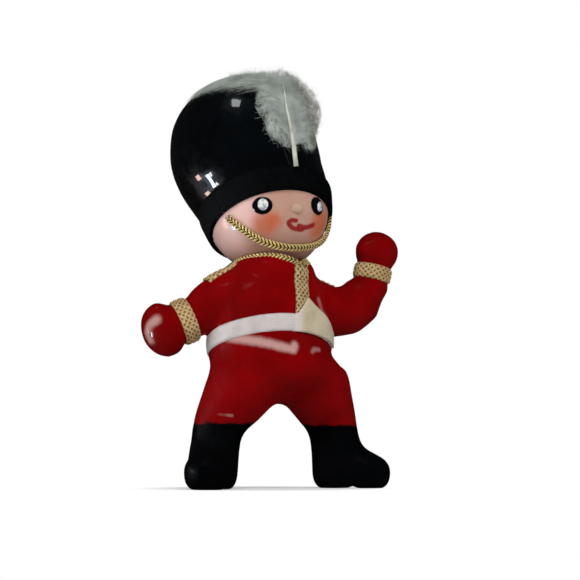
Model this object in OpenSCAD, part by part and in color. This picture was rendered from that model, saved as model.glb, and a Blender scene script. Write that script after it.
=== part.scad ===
/* [Boots] */
// Height of the boot tops above the ground
boot_h = 14.7; // [13:0.1:16]
// Thickness of the boot's shank
shank_d = 12; // [10:0.1:14]
// Distance from the shank's middle to the ball of the foot
foot_reach = 8.4; // [6:0.1:10]
// Width of the foot at the ball
foot_w = 10.2; // [8:0.1:12]
// Height of the foot at the ball
foot_h = 8.8; // [7:0.1:10]
// How far the toes turn out from straight ahead, in degrees
toe_out = 36; // [20:1:45]
// Height of the hollow between the heel and the ball
arch_h = 0.8; // [0.5:0.1:1.1]
// Sideways distance between the middles of the two boots
stance_w = 34.2; // [32:0.1:36]
// How far the boots stand to the figure's left
stance_x = 3.1; // [2:0.1:4]
// How far the boots stand behind the waist's middle
stance_y = 1.5; // [0.5:0.1:2.5]

/* [Legs and hips] */
// Height of the crotch above the ground
crotch_z = 20; // [18:0.1:22]
// Thickness of a thigh where it leaves the hip
thigh_d = 18; // [16.5:0.1:19]
// Width of the hips
hip_w = 34; // [32:0.1:36]
// Depth of the hips, front to back
hip_d = 25.6; // [24:0.1:27]
// How far the hips are pushed to the figure's left
hip_x = 2.5; // [1:0.1:3.5]
// How far the hips are pushed forward
hip_y = 1.6; // [0:0.1:3]
// Slope of the seam between hip and leg, in degrees
hip_seam = 32; // [26:1:36]

/* [Torso] */
// Width of the waist
waist_w = 31.8; // [30:0.1:33]
// Depth of the waist, front to back
waist_d = 24; // [23:0.1:25]
// Height at which the straight waist starts
waist_low = 31.2; // [30.8:0.1:31.6]
// Height at which the straight waist ends
waist_high = 44; // [43:0.1:45]
// Height of the neck's seat above the ground
neck_z = 53; // [52:0.1:54]
// Diameter of the neck's seat
neck_d = 13.8; // [13:0.1:14.4]
// Height of the short neck under the head
neck_h = 1.4; // [1.2:0.1:1.8]
// How far the neck stands to the figure's left
neck_x = 0.6; // [0.2:0.1:1]
// How far the neck stands behind the waist's middle
neck_y = 0.2; // [0:0.1:1]
// Lean of the neck and the head backwards, in degrees
neck_tilt = 6; // [4:0.5:8]

/* [Arms] */
// Height of the shoulders' tops above the ground
shoulder_top = 52.1; // [51.7:0.1:52.5]
// Depth of the arms' roots inside the sides of the chest
shoulder_in = 9.2; // [8.8:0.1:9.6]
// Thickness of the arms at the shoulder
arm_root_d = 14.4; // [13.4:0.1:15]
// Thickness of the wrists
wrist_d = 9.4; // [8.8:0.1:10]
// Sideways reach of the lowered arm, from its shoulder to its fist
low_reach = 18.9; // [18:0.1:20.4]
// How far the lowered fist hangs below its shoulder
low_drop = 8.6; // [7.8:0.1:9]
// How far the lowered fist stands behind its shoulder
low_back = 4.4; // [3:0.1:6]
// Sideways reach of the bent arm, from its shoulder to its hand
high_reach = 21.3; // [20.3:0.1:22.3]
// How far the raised hand stands above its shoulder
high_rise = 13.1; // [12.3:0.1:13.8]
// How far the raised hand stands before its shoulder
high_front = 5.6; // [4:0.1:7]
// Size of the mitten hands
hand_d = 10.4; // [9.6:0.1:11]
// Slope of the seam between shoulder and arm, in degrees
arm_seam = 21; // [18:1:24]

/* [Head] */
// Diameter of the head
head_d = 29.8; // [29:0.1:30.4]
// Diameter of the black eye beads
eye_d = 4.3; // [3.8:0.1:4.8]
// Height of the eye beads above the face
eye_h = 0.8; // [0.6:0.1:1]
// Diameter of the white dots on the eyes
eye_dot_d = 3.1; // [2.4:0.1:3.6]
// Diameter of the nose
nose_d = 3.4; // [2.8:0.1:4]

/* [Hat] */
// Height of the hat's crown above the head's middle
hat_h = 34; // [32:0.1:36]
// How far the hat stands out past the head all round
hat_swell = 3.4; // [3:0.1:3.8]
// Depth of the hat's rim below the head's middle
rim_drop = 4.5; // [4:0.1:5]
// Distance between the hat's rim and the eyes
brow_h = 0.45; // [0.35:0.05:0.6]
// Thickness of the hat's rim round the head
rim_t = 0.4; // [0.35:0.05:0.5]
// Lean of the hat's rim backwards on the head, in degrees
rim_lean = 20; // [17:1:23]
// How far the crown bulges backwards
hat_bulge_y = 2.4; // [1.5:0.1:3]
// How far the crown bulges to the figure's right
hat_bulge_x = 1.1; // [0.6:0.1:1.6]
// Least thickness of the hat's wall round its hollow
hat_wall = 3; // [2.6:0.1:3.6]
// Lean of the hat backwards on the head, in degrees
hat_tilt = 5; // [3:0.5:7]
// Lean of the hat to the figure's right, in degrees
hat_roll = 7.5; // [6:0.5:9]
// Diameter of the feather's shaft at its foot
quill_d = 1.1; // [0.9:0.1:1.4]
// Width of the feather's down
down_w = 14; // [12:0.1:16]
// Thickness of the feather's down
down_t = 2.6; // [2:0.1:3]

/* [Ribbons, braids and cords] */
// Width of the ribbon round the hat
band_w = 6.4; // [5.6:0.1:7]
// Width of the belt's ribbon
belt_w = 4; // [3.6:0.1:4.2]
// Height of the belt's middle at the back
belt_z = 31.6; // [31.2:0.1:32]
// How much higher the belt's middle is in front
belt_rise = 6.4; // [5.8:0.1:6.8]
// Thickness of a ribbon
ribbon_t = 0.45; // [0.3:0.05:0.6]
// Thickness of a braid
braid_t = 0.6; // [0.4:0.05:0.7]
// Width of the braid down the front of the jacket
placket_w = 4.4; // [4:0.1:5]
// Width of the braids over the shoulders
shoulder_braid_w = 3.8; // [3:0.1:4.2]
// Width of the braid round the wrists
cuff_w = 3.7; // [3.4:0.1:4.2]
// Diameter of the gold cords
cord_d = 1.7; // [1.5:0.05:1.8]

/* [Pins and fits] */
// Diameter of the neck peg
peg_d = 5; // [4:0.1:6]
// Length of the neck peg inside the torso
peg_in_torso = 11; // [9:0.5:12]
// Length of the neck peg inside the head
peg_in_head = 9; // [8:0.5:11]
// Diameter of the wire pins in arms and legs
pin_d = 1.8; // [1.2:0.1:2.4]
// Length of the wire pins in arms and legs
pin_l = 9; // [7:0.5:10]
// Radial clearance in which the head turns on its peg
turn_gap = 0.05; // [0.02:0.01:0.1]
// Radial clearance of a glued pin
glue_gap = 0.03; // [0.02:0.01:0.05]
// Gap between a trim and the surface that carries it
trim_gap = 0.06; // [0.04:0.01:0.1]
// Clearance between the turning head and the still collar cord
head_gap = 0.5; // [0.4:0.05:0.7]
// Clearance between the neck and the collar cord
collar_gap = 1.25; // [1:0.05:1.4]

/* [Hidden] */

// Middle of the whole figure's box, in the frame that is centred on the waist
centre_x = 1.38;
centre_y = 5.07;

// Turn by which the belt's highest place lies to the figure's right, and the bend of its slope
belt_lead = 6;
belt_bend = 1.5;

// Overrun of every cut
cut = 1;
// Sides of the rounded forms
form_sides = 24;
// Sides of the small round pieces
fine_sides = 144;
// Sides of the round cords
cord_sides = 8;
// Reach of a cutting block past the whole figure
beyond = 3 * hip_w;

red = "#8b0d14";
black = "#15161a";
flesh = "#dcb5a4";
gold = "#c8a05a";
white = "#ece8e2";
cream = "#ddd6bd";

function unit(v) = v / norm(v);
function turned(v, tilt) = [v.x, v.y * cos(tilt) + v.z * sin(tilt), v.z * cos(tilt) - v.y * sin(tilt)];

// Places on the figure
neck_seat = [neck_x, neck_y, neck_z];
neck_axis = turned([0, 0, 1], neck_tilt);
head_r = head_d / 2;
cord_r = cord_d / 2;
// The collar cord lies round the neck, and the head's height leaves it clear
collar_lift = cord_r * 0.1;
collar_r = neck_d / 2 + collar_gap + cord_r;
head_rise = sqrt(pow(head_r + cord_r + head_gap, 2) - pow(collar_r, 2)) + collar_lift;
hip_mid = [hip_x, -hip_y, crotch_z];

// Height, sideways, forward, width and depth shares of the hips, from the crotch to the waist
hip_shares = [
    [0.00, 1.00, 1.00, 0.16, 0.30],
    [0.10, 1.00, 1.00, 0.40, 0.52],
    [0.24, 1.00, 1.00, 0.66, 0.70],
    [0.42, 1.00, 0.95, 0.88, 0.87],
    [0.62, 0.98, 0.70, 0.97, 0.97],
    [0.82, 0.72, 0.35, 0.955, 0.985]];
// Height, sideways and back, width and depth shares of the chest, from the waist to the neck
chest_shares = [
    [0.20, 0.10, 0.97, 0.97],
    [0.40, 0.25, 0.90, 0.91],
    [0.58, 0.45, 0.79, 0.82],
    [0.72, 0.70, 0.66, 0.72]];

hips = [for (s = hip_shares)
    [hip_x * s[1], -hip_y * s[2], crotch_z + (waist_low - crotch_z) * s[0],
     hip_w / 2 * s[3], hip_d / 2 * s[4]]];
waist = [[hip_x * 0.24, 0, waist_low, waist_w * 0.483, waist_d / 2],
         [0, 0, waist_high, waist_w / 2, waist_d / 2]];
chest = [for (s = chest_shares)
    [neck_x * s[1], neck_y * s[1], waist_high + (neck_z - waist_high) * s[0],
     waist_w / 2 * s[2], waist_d / 2 * s[3]]];
torso_rows = concat(hips, waist, chest);
waist_row = len(hips);

// Sideways, back, down and thickness shares of the lowered arm
low_arm_shares = [
    [0.00, 0.00, 0.00, 1.00],
    [0.24, 0.10, 0.10, 0.96],
    [0.39, 0.25, 0.24, 0.82],
    [0.49, 0.37, 0.37, 0.73]];
low_wrist_shares = [0.74, 0.66, 0.74];
// Sideways, front, up and thickness shares of the bent arm
high_arm_shares = [
    [0.00, 0.00, 0.00, 1.00],
    [0.25, 0.09, -0.10, 0.95],
    [0.48, 0.27, -0.19, 0.86],
    [0.68, 0.52, -0.14, 0.84],
    [0.80, 0.66, 0.02, 0.79],
    [0.85, 0.76, 0.20, 0.70]];
high_wrist_shares = [0.95, 0.89, 0.57];
shoulder_x = waist_w / 2 - shoulder_in;
shoulder_z = shoulder_top - arm_root_d / 2;
low_shoulder = [-shoulder_x, 0, shoulder_z];
high_shoulder = [shoulder_x, 0, shoulder_z];
low_hand = low_shoulder + [-low_reach, low_back, -low_drop];
high_hand = high_shoulder + [high_reach, -high_front, high_rise];
low_wrist = low_shoulder + [-low_reach * low_wrist_shares[0], low_back * low_wrist_shares[1],
                            -low_drop * low_wrist_shares[2]];
high_wrist = high_shoulder + [high_reach * high_wrist_shares[0], -high_front * high_wrist_shares[1],
                              high_rise * high_wrist_shares[2]];
low_way = unit(low_hand - low_wrist);
high_way = unit(high_hand - high_wrist);
wrist_r = wrist_d / 2;
function wrist_rows(mid, way) = [
    concat(mid - (cuff_w / 2 + cut) * way, [wrist_r, wrist_r]),
    concat(mid + (cuff_w / 2 + cut / 2) * way, [wrist_r, wrist_r])];
low_arm_rows = concat(
    [for (s = low_arm_shares)
        concat(low_shoulder + [-low_reach * s[0], low_back * s[1], -low_drop * s[2]],
               [arm_root_d / 2 * s[3], arm_root_d / 2 * s[3]])],
    wrist_rows(low_wrist, low_way));
high_arm_rows = concat(
    [for (s = high_arm_shares)
        concat(high_shoulder + [high_reach * s[0], -high_front * s[1], high_rise * s[2]],
               [arm_root_d / 2 * s[3], arm_root_d / 2 * s[3]])],
    wrist_rows(high_wrist, high_way));

// Height share above the boot, share of the way from foot to hip, width and depth shares of a leg
leg_shares = [
    [0.00, 0.21, 0.70, 0.68],
    [0.20, 0.31, 0.73, 0.74],
    [0.46, 0.55, 0.82, 0.83],
    [1.00, 1.00, 1.00, 1.00]];
thigh_side = hip_w * 0.27;
thigh_top = crotch_z * 1.27;
function foot_place(side) = [stance_x + side * stance_w / 2, stance_y, 0];
function thigh_place(side) = [hip_x + side * thigh_side, -hip_y, 0];
function leg_rows(side) =
    [for (s = leg_shares)
        let (p = foot_place(side) + (thigh_place(side) - foot_place(side)) * s[1])
        [p.x, p.y, boot_h + (thigh_top - boot_h) * s[0], thigh_d / 2 * s[2], thigh_d / 2 * s[3]]];

// Height share, share of the lean of the boot's top, reach, shank and ball shares of a boot
boot_shares = [
    [0.00, 0.00, 0.97, 0.74, 0.68],
    [0.05, 0.00, 1.00, 0.88, 0.86],
    [0.18, 0.00, 1.00, 0.98, 0.99],
    [0.34, 0.00, 1.00, 1.00, 1.00],
    [0.46, 0.05, 0.95, 1.00, 0.84],
    [0.56, 0.12, 0.74, 1.00, 0.66],
    [0.64, 0.22, 0.40, 1.00, 0.80],
    [0.76, 0.45, 0.06, 1.00, 1.12]];

// Height, width and back shares of the hat's crown above its ribbon
hat_shares = [
    [0.26, 0.965, 0.90],
    [0.38, 0.995, 1.08],
    [0.50, 1.000, 1.10],
    [0.62, 0.975, 1.02],
    [0.73, 0.920, 0.92],
    [0.82, 0.830, 0.82],
    [0.90, 0.690, 0.74],
    [0.96, 0.490, 0.68],
    [1.00, 0.200, 0.64]];
hat_w = head_d + 2 * hat_swell;
rim_r = (head_r + trim_gap + rim_t) / cos(180 / form_sides);
rim_low_r = sqrt(rim_r * rim_r - rim_drop * rim_drop);
band_top = band_w * 0.93 - rim_drop;
band_top_r = rim_r + (hat_w / 2 - rim_r) * 0.2;
// Direction square to the rim, in the hat's frame
rim_way = [cos(rim_lean) * sin(hat_roll),
           sin(rim_lean) * cos(hat_tilt) - cos(rim_lean) * cos(hat_roll) * sin(hat_tilt),
           sin(rim_lean) * sin(hat_tilt) + cos(rim_lean) * cos(hat_roll) * cos(hat_tilt)];
band_rows = [concat(-rim_drop * rim_way, [rim_low_r, rim_low_r]),
             concat(band_top * rim_way, [band_top_r, band_top_r])];
hat_rows = concat(band_rows,
    [for (s = hat_shares)
        [-hat_bulge_x * s[2], hat_bulge_y * s[2], hat_h * s[0], hat_w / 2 * s[1], hat_w / 2 * s[1]]]);
hollow_r = hat_w / 2 - hat_wall;
hollow_mid = [-hat_bulge_x, hat_bulge_y, hat_h - hat_wall - hollow_r];

// Rows of a form, widened all round
function grown(rows, by) = [for (r = rows) [r[0], r[1], r[2], r[3] + by, r[4] + by]];

function place_of(row) = [row[0], row[1], row[2]];
function way_of(rows, i) =
    unit(place_of(rows[min(i + 1, len(rows) - 1)]) - place_of(rows[max(i - 1, 0)]));
function part_of(rows, first, last) = [for (i = [first : last]) rows[i]];

// Ring of points round a row's place, square to a direction
function ring_at(row, way = [0, 0, 1]) =
    [for (k = [0 : form_sides - 1])
        let (turn = 360 * k / form_sides, p = [row[3] * cos(turn), row[4] * sin(turn), 0])
        place_of(row) + p - p * way / (1 + way.z) * ([0, 0, 1] + way)];

// A solid skin over rings of points: closed on itself, or with two ends that are flat or go to and fro
module skin(rings, closed = false, flat = true) {
    n = len(rings);
    m = len(rings[0]);
    walls = [for (i = [0 : closed ? n - 1 : n - 2]) for (k = [0 : m - 1])
        let (next = (i + 1) % n, a = i * m + k, b = i * m + (k + 1) % m,
             c = next * m + (k + 1) % m, d = next * m + k)
        each [[c, b, a], [d, c, a]]];
    e = (n - 1) * m;
    flat_ends = [[for (k = [0 : m - 1]) k], [for (k = [m - 1 : -1 : 0]) e + k]];
    bent_ends = [for (k = [0 : m / 2 - 2]) let (a = k, b = k + 1, c = m - 2 - k, d = m - 1 - k)
        each [[a, b, c], [a, c, d], [e + c, e + b, e + a], [e + d, e + c, e + a]]];
    ends = closed ? [] : flat ? flat_ends : bent_ends;
    polyhedron(points = [for (r = rings) each r], faces = concat(walls, ends));
}

// A limb of rings that are square to its own run
module limb(rows) {
    skin([for (i = [0 : len(rows) - 1]) ring_at(rows[i], way_of(rows, i))]);
}

// The neck's own frame, with its origin on the seat
module on_neck() {
    translate(neck_seat) rotate([-neck_tilt, 0, 0]) children();
}

// The head's frame, with its origin in the head's middle
module on_head() {
    on_neck() translate([0, 0, head_rise]) children();
}

// The hat's frame, with its origin in the head's middle
module on_hat() {
    on_head() rotate([-hat_tilt, -hat_roll, 0]) children();
}

// Everything is drawn about the waist and moved to the middle of the figure's box
module stood() {
    translate([-centre_x, -centre_y, 0]) children();
}

// The trunk from one of its rows upwards, with its neck; the last row given may also be the end
neck_rows = [for (down = [neck_h, 0]) concat(neck_seat - down * neck_axis, [neck_d / 2, neck_d / 2])];
module trunk_form(first = 0, last = len(torso_rows) - 1, by = 0) {
    rows = grown(part_of(torso_rows, first, last), by);
    necks = last < len(torso_rows) - 1 ? [] : [for (r = grown(neck_rows, by)) ring_at(r, neck_axis)];
    skin(concat([for (r = rows) ring_at(r)], necks));
}

// Share of the way from cuff to fingertips, and thickness share, of a mitten hand
hand_shares = [[0.12, 0.98], [0.32, 1.06], [0.54, 1.04], [0.74, 0.88], [0.88, 0.64], [0.96, 0.38],
               [1.00, 0.14]];
function hand_rows(wrist, hand, way, tall, deep) =
    let (start = wrist + (cuff_w + cut) / 2 * way, reach = norm(hand - start) + hand_d * 0.46)
    [for (s = hand_shares)
        concat(start + s[0] * reach * way, [hand_d / 2 * s[1] * tall, hand_d / 2 * s[1] * deep])];

module thumb(at) {
    translate(at) sphere(d = hand_d * 0.44, $fn = form_sides);
}

module low_arm_form() {
    limb(concat(low_arm_rows, hand_rows(low_wrist, low_hand, low_way, 1.18, 0.98)));
    thumb(low_hand + [-hand_d * 0.2, -hand_d * 0.1, hand_d * 0.38]);
}

module high_arm_form() {
    limb(concat(high_arm_rows, hand_rows(high_wrist, high_hand, high_way, 0.98, 0.92)));
    thumb(high_hand + [-hand_d * 0.4, -hand_d * 0.06, 0]);
}

// Block on the outer side of an arm's seam
module arm_side(side) {
    translate([side * waist_w / 2, 0, waist_low])
        rotate([0, -side * arm_seam, 0])
            translate([side > 0 ? 0 : -beyond, -beyond / 2, -beyond / 2])
                cube([beyond, beyond, beyond]);
}

// Block under a leg's seam, on its own side of the crotch
module leg_side(side) {
    intersection() {
        translate(hip_mid)
            rotate([0, -side * hip_seam, 0])
                translate([-beyond / 2, -beyond / 2, -beyond])
                    cube([beyond, beyond, beyond]);
        translate([hip_mid.x + (side > 0 ? 0 : -beyond), -beyond / 2, -cut])
            cube([beyond, beyond, beyond]);
    }
}

low_pin_mid = low_shoulder + [-low_reach * 0.31, low_back * 0.15, -low_drop * 0.15];
high_pin_mid = high_shoulder + [high_reach * 0.33, -high_front * 0.15, -high_rise * 0.1];
low_pin_way = unit([-low_reach, low_back, -low_drop]);
high_pin_way = unit([high_reach, -high_front / 2, -high_front / 2]);
function leg_pin_mid(side) = [hip_x + side * thigh_side * 0.92, -hip_y, crotch_z * 1.3];
function leg_pin_way(side) = unit([-side * thigh_side * 0.4, 0, thigh_side]);

// A round rod through a place, along a direction
module rod(mid, way, d, l) {
    translate(mid) rotate([0, acos(way.z), atan2(way.y, way.x)])
        cylinder(h = l, d = d, center = true, $fn = form_sides);
}

module pin_holes() {
    gap = 2 * glue_gap;
    rod(low_pin_mid, low_pin_way, pin_d + gap, pin_l + gap);
    rod(high_pin_mid, high_pin_way, pin_d + gap, pin_l + gap);
    for (side = [-1, 1])
        rod(leg_pin_mid(side), leg_pin_way(side), pin_d + gap, pin_l + gap);
}

module torso() {
    color(red) stood() difference() {
        union() {
            trunk_form();
            limb(part_of(low_arm_rows, 0, 4));
            limb(part_of(high_arm_rows, 0, 4));
            leg_form(-1);
            leg_form(1);
        }
        arm_side(-1);
        arm_side(1);
        leg_side(-1);
        leg_side(1);
        pin_holes();
        on_neck() translate([0, 0, -peg_in_torso - glue_gap])
            cylinder(h = peg_in_torso + cut, d = peg_d + 2 * glue_gap, $fn = form_sides);
    }
}

module right_arm() {
    color(red) stood() difference() {
        intersection() {
            union() {
                trunk_form(waist_row);
                low_arm_form();
            }
            arm_side(-1);
        }
        pin_holes();
    }
}

module left_arm() {
    color(red) stood() difference() {
        intersection() {
            union() {
                trunk_form(waist_row);
                high_arm_form();
            }
            arm_side(1);
        }
        pin_holes();
    }
}

module leg(side) {
    color(red) stood() difference() {
        intersection() {
            union() {
                trunk_form(0, waist_row + 1);
                leg_form(side);
            }
            leg_side(side);
        }
        pin_holes();
    }
}
module right_leg() leg(-1);
module left_leg() leg(1);

// A leg stands on a level ring at its boot
module leg_form(side) {
    rows = leg_rows(side);
    skin([for (i = [0 : len(rows) - 1]) ring_at(rows[i], i == 0 ? [0, 0, 1] : way_of(rows, i))]);
}

// Level ring of a boot, in the foot's own frame: round the shank behind and round the ball in front
function boot_ring(side, s) =
    let (top = leg_rows(side)[0], lean = (place_of(top) - [0, 0, boot_h] - foot_place(side)) * s[1],
         toes = -90 + side * toe_out, reach = foot_reach * s[2])
    [for (k = [0 : form_sides - 1])
        let (turn = 360 * k / form_sides - toes, ahead = cos(turn) > 0,
             r = ahead ? foot_w / 2 * s[4] : shank_d / 2 * s[3],
             x = r * cos(turn) + (ahead ? reach : 0), y = r * sin(turn))
        foot_place(side) + lean
            + [x * cos(toes) - y * sin(toes), x * sin(toes) + y * cos(toes), boot_h * s[0]]];

module boot(side) {
    arch_w = foot_reach * 0.5;
    arch_r = (arch_w * arch_w / 4 + arch_h * arch_h) / (2 * arch_h);
    color(black) stood() difference() {
        skin(concat([for (s = boot_shares) boot_ring(side, s)], [ring_at(leg_rows(side)[0])]));
        // Hollow between heel and ball
        translate(foot_place(side)) rotate([0, 0, -90 + side * toe_out])
            translate([foot_reach * 0.48, 0, arch_h - arch_r])
                rotate([90, 0, 0]) cylinder(h = beyond, r = arch_r, center = true, $fn = form_sides);
    }
}
module right_boot() boot(-1);
module left_boot() boot(1);

module neck_peg() {
    color("#c9a878") stood() on_neck() translate([0, 0, -peg_in_torso])
        cylinder(h = peg_in_torso + peg_in_head, d = peg_d, $fn = form_sides);
}

module pin(mid, way) {
    color("#b8babd") stood() rod(mid, way, pin_d, pin_l);
}
module right_arm_pin() pin(low_pin_mid, low_pin_way);
module left_arm_pin() pin(high_pin_mid, high_pin_way);
module right_leg_pin() pin(leg_pin_mid(-1), leg_pin_way(-1));
module left_leg_pin() pin(leg_pin_mid(1), leg_pin_way(1));

module head() {
    color(flesh) stood() on_head() difference() {
        sphere(d = head_d, $fn = 2 * form_sides);
        translate([-head_d / 2, -head_d / 2, -head_rise - head_d]) cube([head_d, head_d, head_d]);
        translate([0, 0, -head_rise - cut])
            cylinder(h = cut + peg_in_head + turn_gap, d = peg_d + 2 * turn_gap, $fn = form_sides);
    }
}

// A place on the face, turned to the figure's left and raised from the head's middle
module on_face(turn, rise) {
    rotate([0, 0, turn]) rotate([-rise, 0, 0]) translate([0, -head_r, 0]) rotate([90, 0, 0]) children();
}

// Height of the rim on the head's round, at a turn from straight ahead
function rim_height(turn) = (head_r * cos(turn) * sin(rim_lean) - rim_drop) / cos(rim_lean);

// Turn and rise of each feature of the face, in degrees
function eye_at(turn) = [turn, asin((rim_height(turn) - brow_h - eye_d / 2) / head_r)];
right_eye_at = eye_at(-34);
left_eye_at = eye_at(25);
nose_at = [-2, right_eye_at[1] - 3];
nose_sink = nose_d * 0.22;

// A low dome of a given foot and height, standing on a round surface
module dome(foot_d, h, ground_r) {
    foot_r = foot_d / 2;
    dip = ground_r - sqrt(ground_r * ground_r - foot_r * foot_r);
    rise = h + dip;
    dome_r = (foot_r * foot_r + rise * rise) / (2 * rise);
    translate([0, 0, h - dome_r]) sphere(r = dome_r, $fn = fine_sides);
}

module eye_bead(at) {
    color(black) stood() on_head() difference() {
        on_face(at[0], at[1]) dome(eye_d, eye_h, head_r);
        sphere(r = head_r, $fn = fine_sides);
    }
}

module eye_dot(at) {
    rise = eye_h * 0.18;
    color(white) stood() on_head() difference() {
        on_face(at[0], at[1]) intersection() {
            translate([0, 0, rise]) dome(eye_d, eye_h, head_r);
            cylinder(h = head_r, d = eye_dot_d, $fn = fine_sides);
        }
        on_face(at[0], at[1]) dome(eye_d, eye_h, head_r);
        sphere(r = head_r, $fn = fine_sides);
    }
}
module right_eye() eye_bead(right_eye_at);
module left_eye() eye_bead(left_eye_at);
module right_eye_dot() eye_dot(right_eye_at);
module left_eye_dot() eye_dot(left_eye_at);

module nose() {
    color(flesh) stood() on_head() difference() {
        on_face(nose_at[0], nose_at[1]) translate([0, 0, -nose_sink])
            sphere(d = nose_d, $fn = fine_sides);
        sphere(r = head_r, $fn = fine_sides);
    }
}

module hat() {
    color(black) stood() difference() {
        on_hat() skin([for (i = [0 : len(hat_rows) - 1])
            ring_at(hat_rows[i], i < len(band_rows) ? rim_way : [0, 0, 1])]);
        on_hat() translate(hollow_mid) sphere(r = hollow_r, $fn = 2 * form_sides);
        on_head() sphere(r = head_r + trim_gap, $fn = 2 * form_sides);
    }
}

// A flat strip of ribbon between two inner and two outer rings of points
module ribbon(inner_low, inner_high, outer_high, outer_low, closed) {
    skin([for (k = [0 : len(inner_low) - 1]) [inner_low[k], inner_high[k], outer_high[k], outer_low[k]]],
         closed);
}

module hat_band() {
    inner = grown(band_rows, trim_gap);
    outer = grown(band_rows, trim_gap + ribbon_t);
    color(black) stood() on_hat()
        ribbon(ring_at(inner[0], rim_way), ring_at(inner[1], rim_way),
               ring_at(outer[1], rim_way), ring_at(outer[0], rim_way), true);
}

// A place raised off the hat, and a place on it at or between its rows, at a turn from straight ahead
crown_mid = [0, 0, hat_h / 2];
function raised(p, out) = crown_mid + (p - crown_mid) * (1 + out / (hat_w / 2));
function crown_row(i) =
    let (k = min(floor(i), len(hat_rows) - 2))
    hat_rows[k] + (hat_rows[k + 1] - hat_rows[k]) * (i - k);
function on_crown(i, turn, out) =
    let (r = crown_row(i)) raised([r[0] + r[3] * sin(turn), r[1] - r[4] * cos(turn), r[2]], out);
band_front = ring_at(band_rows[1], rim_way)[form_sides * 3 / 4];

// Turn and height over the hat, in shares of the down's thickness, of the feather's shaft by row
quill_shares = [[-2, 0], [0, 0.8], [2, 1], [4, 1], [5, 1], [5, 1], [4, 0.9]];
quill_thin_share = 0.35;
quill_way = [for (i = [0 : len(quill_shares) - 1])
    let (out = 2 * trim_gap + ribbon_t + quill_d / 2 + down_t * quill_shares[i][1])
    i == 0 ? raised(band_front, out) : on_crown(i + 1, quill_shares[i][0], out)];

// Ring of points square to a route at one of its points
function ring(c, way, r, sides, up = [0, 0, 1]) =
    let (a = unit(cross(abs(way.z) > 0.9 ? [0, 1, 0] : up, way)), b = cross(way, a))
    [for (k = [0 : sides - 1]) c + r * (a * cos(360 * k / sides) + b * sin(360 * k / sides))];

function route_way(route, i) =
    unit(route[min(i + 1, len(route) - 1)] - route[max(i - 1, 0)]);

// An open cord of round section along a route, with a radius for each of its points
module cord(route, radii) {
    skin([for (i = [0 : len(route) - 1]) ring(route[i], route_way(route, i), radii[i], cord_sides)]);
}

// Points along a route of few points, on a smooth curve through them
function smooth_at(p, i, t) =
    let (n = len(p), a = p[max(i - 1, 0)], b = p[i], c = p[min(i + 1, n - 1)], d = p[min(i + 2, n - 1)])
    (2 * b + (c - a) * t + (2 * a - 5 * b + 4 * c - d) * t * t + (3 * b - a - 3 * c + d) * t * t * t) / 2;
function smooth(p, steps) = concat(
    [for (i = [0 : len(p) - 2]) for (k = [0 : steps - 1]) smooth_at(p, i, k / steps)],
    [p[len(p) - 1]]);

module plume_quill() {
    route = smooth(quill_way, 3);
    n = len(route);
    color(white) stood() on_hat()
        cord(route, [for (i = [0 : n - 1]) quill_d / 2 * (1 - (1 - quill_thin_share) * i / (n - 1))]);
}

// Turn of the down's two edges and its thickness share, for each row of the crown
down_shares = [
    [6, 40, 0.4],
    [-2, 50, 0.8],
    [-16, 60, 1.0],
    [-22, 66, 1.0],
    [-36, 72, 1.0],
    [-75, 75, 1.0],
    [-90, 75, 1.0],
    [-100, 70, 1.0],
    [-110, 60, 0.9]];
down_steps = 12;
down_rings = 4;
down_edge_share = 0.15;
down_lift = 0.3;

module plume_down() {
    rings = [for (j = [0 : down_rings * (len(down_shares) - 1)])
        let (i = j / down_rings, a = min(floor(i), len(down_shares) - 2),
             s = down_shares[a] + (down_shares[a + 1] - down_shares[a]) * (i - a))
        concat(
            [for (k = [0 : down_steps]) let (u = k / down_steps)
                on_crown(i + 2, s[0] + (s[1] - s[0]) * u, down_lift)],
            [for (k = [down_steps : -1 : 0]) let (u = k / down_steps, full = sin(180 * u))
                on_crown(i + 2, s[0] + (s[1] - s[0]) * u,
                         down_lift + down_t * s[2] * (down_edge_share + (1 - down_edge_share) * full))])];
    color(white) stood() on_hat()
        skin([for (r = rings) [for (k = [len(r) - 1 : -1 : 0]) r[k]]], flat = false);
}

// Turn of the chin cord's points round the face, in degrees, and share of the way to its lowest rise
chin_low = -49;
chin_shares = [[-70, 0], [-67, 0.10], [-61, 0.28], [-53, 0.51], [-43, 0.74], [-29, 0.91], [-12, 1],
               [7, 1], [23, 0.93], [38, 0.79], [49, 0.59], [56, 0.37], [59, 0.18], [60, 0]];
chin_r = head_r + cord_r + trim_gap;
function on_ball(turn, rise, r) = [r * cos(rise) * sin(turn), -r * cos(rise) * cos(turn), r * sin(rise)];

module chin_cord() {
    ends = asin((rim_height(chin_shares[0][0]) - cord_r - ribbon_t) / chin_r);
    route = smooth([for (s = chin_shares) on_ball(s[0], ends + (chin_low - ends) * s[1], chin_r)], 2);
    color(gold) stood() on_head() cord(route, [for (p = route) cord_r]);
}

// The collar cord dips to the braid in front and is open at one side of it
collar_dip = cord_d * 0.9;
collar_start = 20;
collar_sweep = 348;
collar_steps = 35;
function collar_point(turn) =
    let (dip = collar_dip * exp(-pow((turn - 14) / 26, 2)))
    [(collar_r + dip * 0.7) * sin(turn), -(collar_r + dip * 0.7) * cos(turn), collar_lift - dip];

module collar_cord() {
    route = [for (k = [0 : collar_steps]) collar_point(collar_start + k * collar_sweep / collar_steps)];
    color(gold) stood() on_neck() cord(route, [for (p = route) cord_r]);
}

// Height of the belt's middle at a turn from straight ahead: low at the back and high in front
function belt_height(turn) = belt_z + belt_rise * pow((1 + cos(turn + belt_lead)) / 2, belt_bend);

// The torso's row at any height, between two of its rows
function row_at(z) =
    let (i = max([for (k = [0 : len(torso_rows) - 2]) torso_rows[k][2] <= z ? k : 0]),
         a = torso_rows[i], b = torso_rows[i + 1])
    a + (b - a) * (z - a[2]) / (b[2] - a[2]);

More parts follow.
